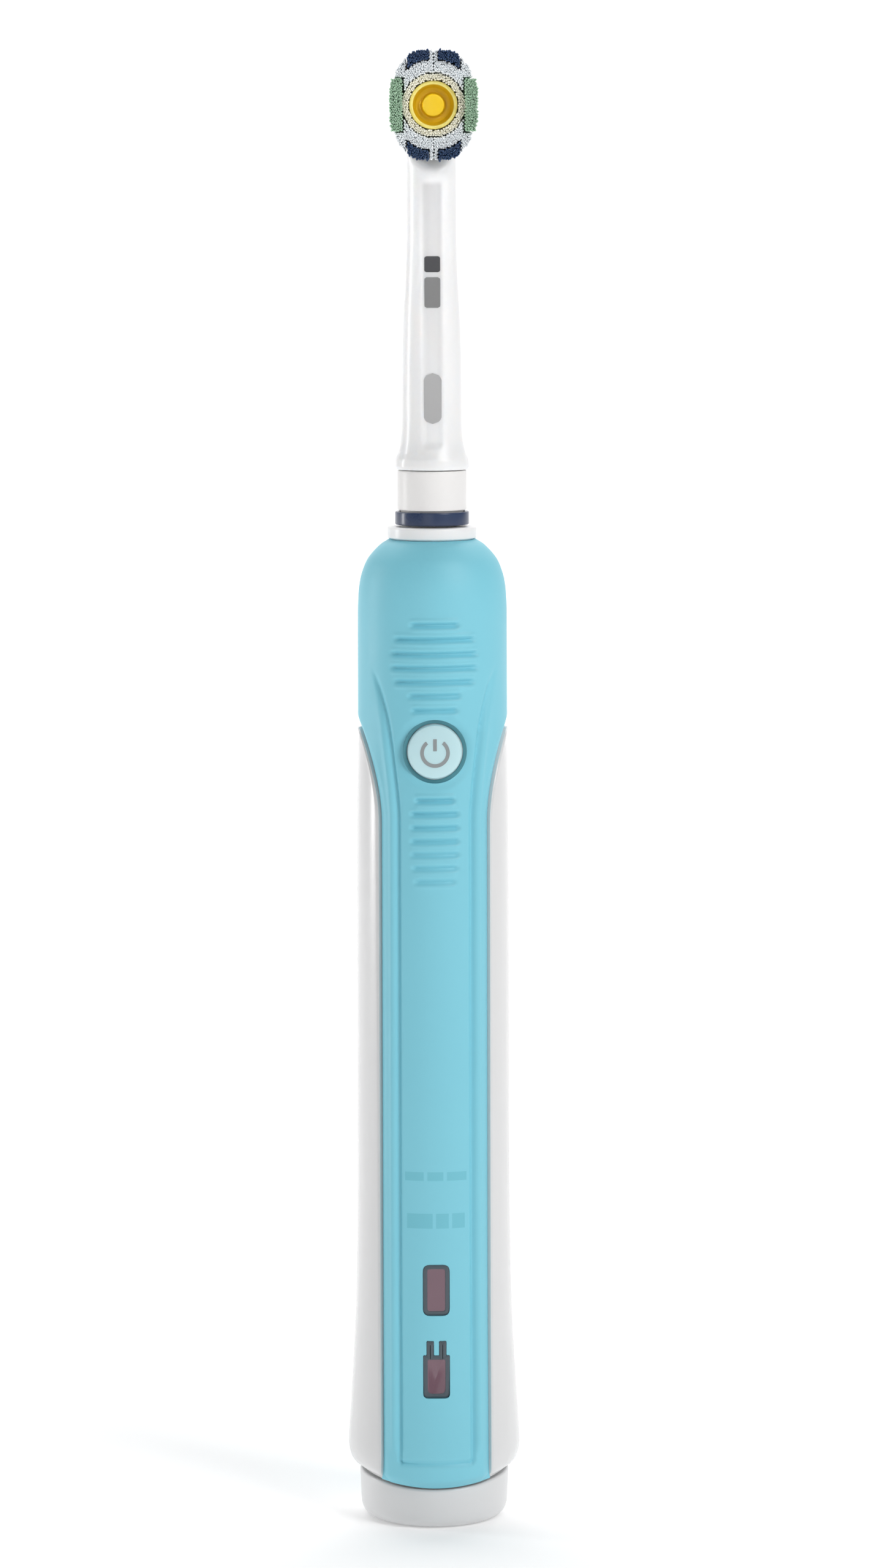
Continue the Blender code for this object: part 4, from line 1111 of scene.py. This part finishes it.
def paint_inner_nodes():
    """Carried-over CAD nodes inside the handle get finished materials by their slot."""
    finishes = {
        "steel": metal("inner_steel", (0.55, 0.56, 0.58), 0.28),
        "dark_steel": metal("armature_steel", (0.26, 0.25, 0.25), 0.38),
        "brass": metal("bush_brass", (0.66, 0.47, 0.20), 0.30),
        "copper": wound_copper("coil_copper", (0.66, 0.27, 0.12), 0.34, 0.4),
        "nickel": metal("tab_nickel", (0.62, 0.60, 0.54), 0.36),
        "grey_plastic": moulded("inner_grey", (0.33, 0.34, 0.36), (0.29, 0.30, 0.32), (0.4, 0.5)),
        "acetal": moulded("inner_acetal", (0.72, 0.71, 0.67), (0.68, 0.67, 0.63), (0.34, 0.44)),
        "dark_plastic": moulded("inner_black", (0.035, 0.035, 0.04), (0.028, 0.028, 0.03), (0.4, 0.5)),
        "rubber": GREY_SEAL,
        "battery_sleeve": moulded("cell_sleeve", (0.06, 0.24, 0.13), (0.05, 0.21, 0.11), (0.2, 0.3),
                                  coat=0.3),
        "board": moulded("solder_mask", (0.02, 0.16, 0.07), (0.015, 0.13, 0.055), (0.25, 0.38), coat=0.3),
        "ferrite": moulded("magnet_ferrite", (0.07, 0.065, 0.065), (0.055, 0.05, 0.05), (0.55, 0.7)),
        "led": moulded("led_body", (0.80, 0.79, 0.62), (0.76, 0.75, 0.58), (0.15, 0.25), translucent=0.4),
        "lead_red": moulded("lead_insulation", (0.50, 0.03, 0.025), (0.44, 0.025, 0.02), (0.35, 0.45)),
        "white": WHITE,
    }
    for entry in frame["record"]["subparts"]:
        node = frame["nodes"].get(entry["node"])
        finish = finishes.get(entry["material_slot"])
        if node is None or finish is None or node.type != "MESH":
            continue
        if not node.material_slots:
            node.data.materials.append(finish)
        for slot in node.material_slots:
            slot.material = finish


# ================================================================ stage, light and camera
def build_stage():
    """A pale floor that sweeps up into a backdrop, well clear of the object."""
    material, tree, shader = new_material("studio_white", {
        "Roughness": 0.9,
        "Specular IOR Level": 0.2,
        "Emission Color": (1.0, 1.0, 1.0, 1.0),
        "Emission Strength": 0.19,
    })
    drift = add_noise(tree, 3.0, 2.0)
    connect(tree, shader, {
        "Base Color": blend_colours(tree, drift, (0.93, 0.93, 0.93), (0.91, 0.91, 0.915)),
    })
    front, bend, sweep, half_width, top = -4000.0, 1900.0, 700.0, 4500.0, 2600.0
    arc = np.linspace(0, math.pi / 2, 17)
    profile = [(front, 0.0)] + [(bend + sweep * math.sin(a), sweep - sweep * math.cos(a)) for a in arc]
    profile.append((bend + sweep, top))
    verts = [(x, y, z) for y, z in profile for x in (-half_width, half_width)]
    floor = new_piece("studio_floor", verts, grid_faces(len(profile), 2))
    floor.data.shade_smooth()
    floor.data.materials.append(material)


def add_light(name, place, target, size, power, spread=180.0):
    light = bpy.data.lights.new(name, "AREA")
    light.shape = "RECTANGLE"
    light.size, light.size_y = size
    light.energy = power
    light.spread = math.radians(spread)
    lamp = bpy.data.objects.new(name, light)
    lamp.location = Vector(place)
    lamp.rotation_euler = (Vector(target) - Vector(place)).to_track_quat("-Z", "Y").to_euler()
    bpy.context.collection.objects.link(lamp)


def build_light():
    world = bpy.data.worlds.new("studio_air")
    bpy.context.scene.world = world
    world.use_nodes = True
    set_inputs(world.node_tree.nodes["Background"], {"Color": (1.0, 1.0, 1.0, 1.0), "Strength": 0.175})
    middle = (0.0, 0.0, 0.12)
    add_light("key_right", (0.72, -0.80, 0.85), middle, (0.5, 0.9), 8.5)
    add_light("fill_front", (-0.30, -1.20, 0.35), middle, (0.7, 0.9), 1.2)
    add_light("strip_left", (-0.89, 0.23, 0.16), middle, (0.13, 0.8), 3.4)
    add_light("head_glow", (-0.36, -0.80, 0.40), (0.0, 0.0, 0.228), (0.12, 0.06), 0.009, 10.0)
    add_light("back_wash", (0.0, 1.4, 1.9), (0.0, 1.75, 0.0), (3.0, 1.4), 46.0)


def build_camera():
    camera = bpy.data.cameras.new("camera")
    camera.lens = CAMERA_LENS
    camera.sensor_width = 36.0
    camera.sensor_fit = "AUTO"
    camera.clip_start = 0.05
    eye = bpy.data.objects.new("camera", camera)
    bpy.context.collection.objects.link(eye)
    turn = math.radians(-CAMERA_TURN)
    place = Vector((CAMERA_ASIDE, -CAMERA_DISTANCE, CAMERA_HEIGHT)) * MM
    spin = Matrix.Rotation(turn, 4, "Z")
    look = Matrix.Rotation(math.radians(90 - CAMERA_TILT), 4, "X")
    roll = Matrix.Rotation(math.radians(CAMERA_ROLL), 4, "Z")
    eye.matrix_world = spin @ Matrix.Translation(place) @ look @ roll
    bpy.context.scene.camera = eye


def main():
    bpy.context.scene.view_settings.view_transform = "Standard"
    build_camera()
    build_light()
    build_stage()
    paint_inner_nodes()
    build_housing()
    skin = build_skin()
    openings = (circle(WELL_R, (0.0, BUTTON_Z)), battery_outline(0.15), plug_outline(0.15))
    carve(skin, [new_piece("opening", *prism_front(outline, 5.0, 16.0)) for outline in openings])
    build_windows()
    build_button()
    build_cap()
    build_neck()
    build_collar()
    build_disc()
    build_bristles()
    build_cup()
    build_shaft()
    build_dashes()
    neck_patch("neck_bar_dark", 201.0, 203.5, 1.25, 0.35, MARK_DARK)
    neck_patch("neck_bar_grey", 195.4, 200.2, 1.25, 0.35, MARK_MID)
    neck_patch("neck_oval_grey", 177.1, 185.1, 1.45, 1.4, MARK_PALE)


main()
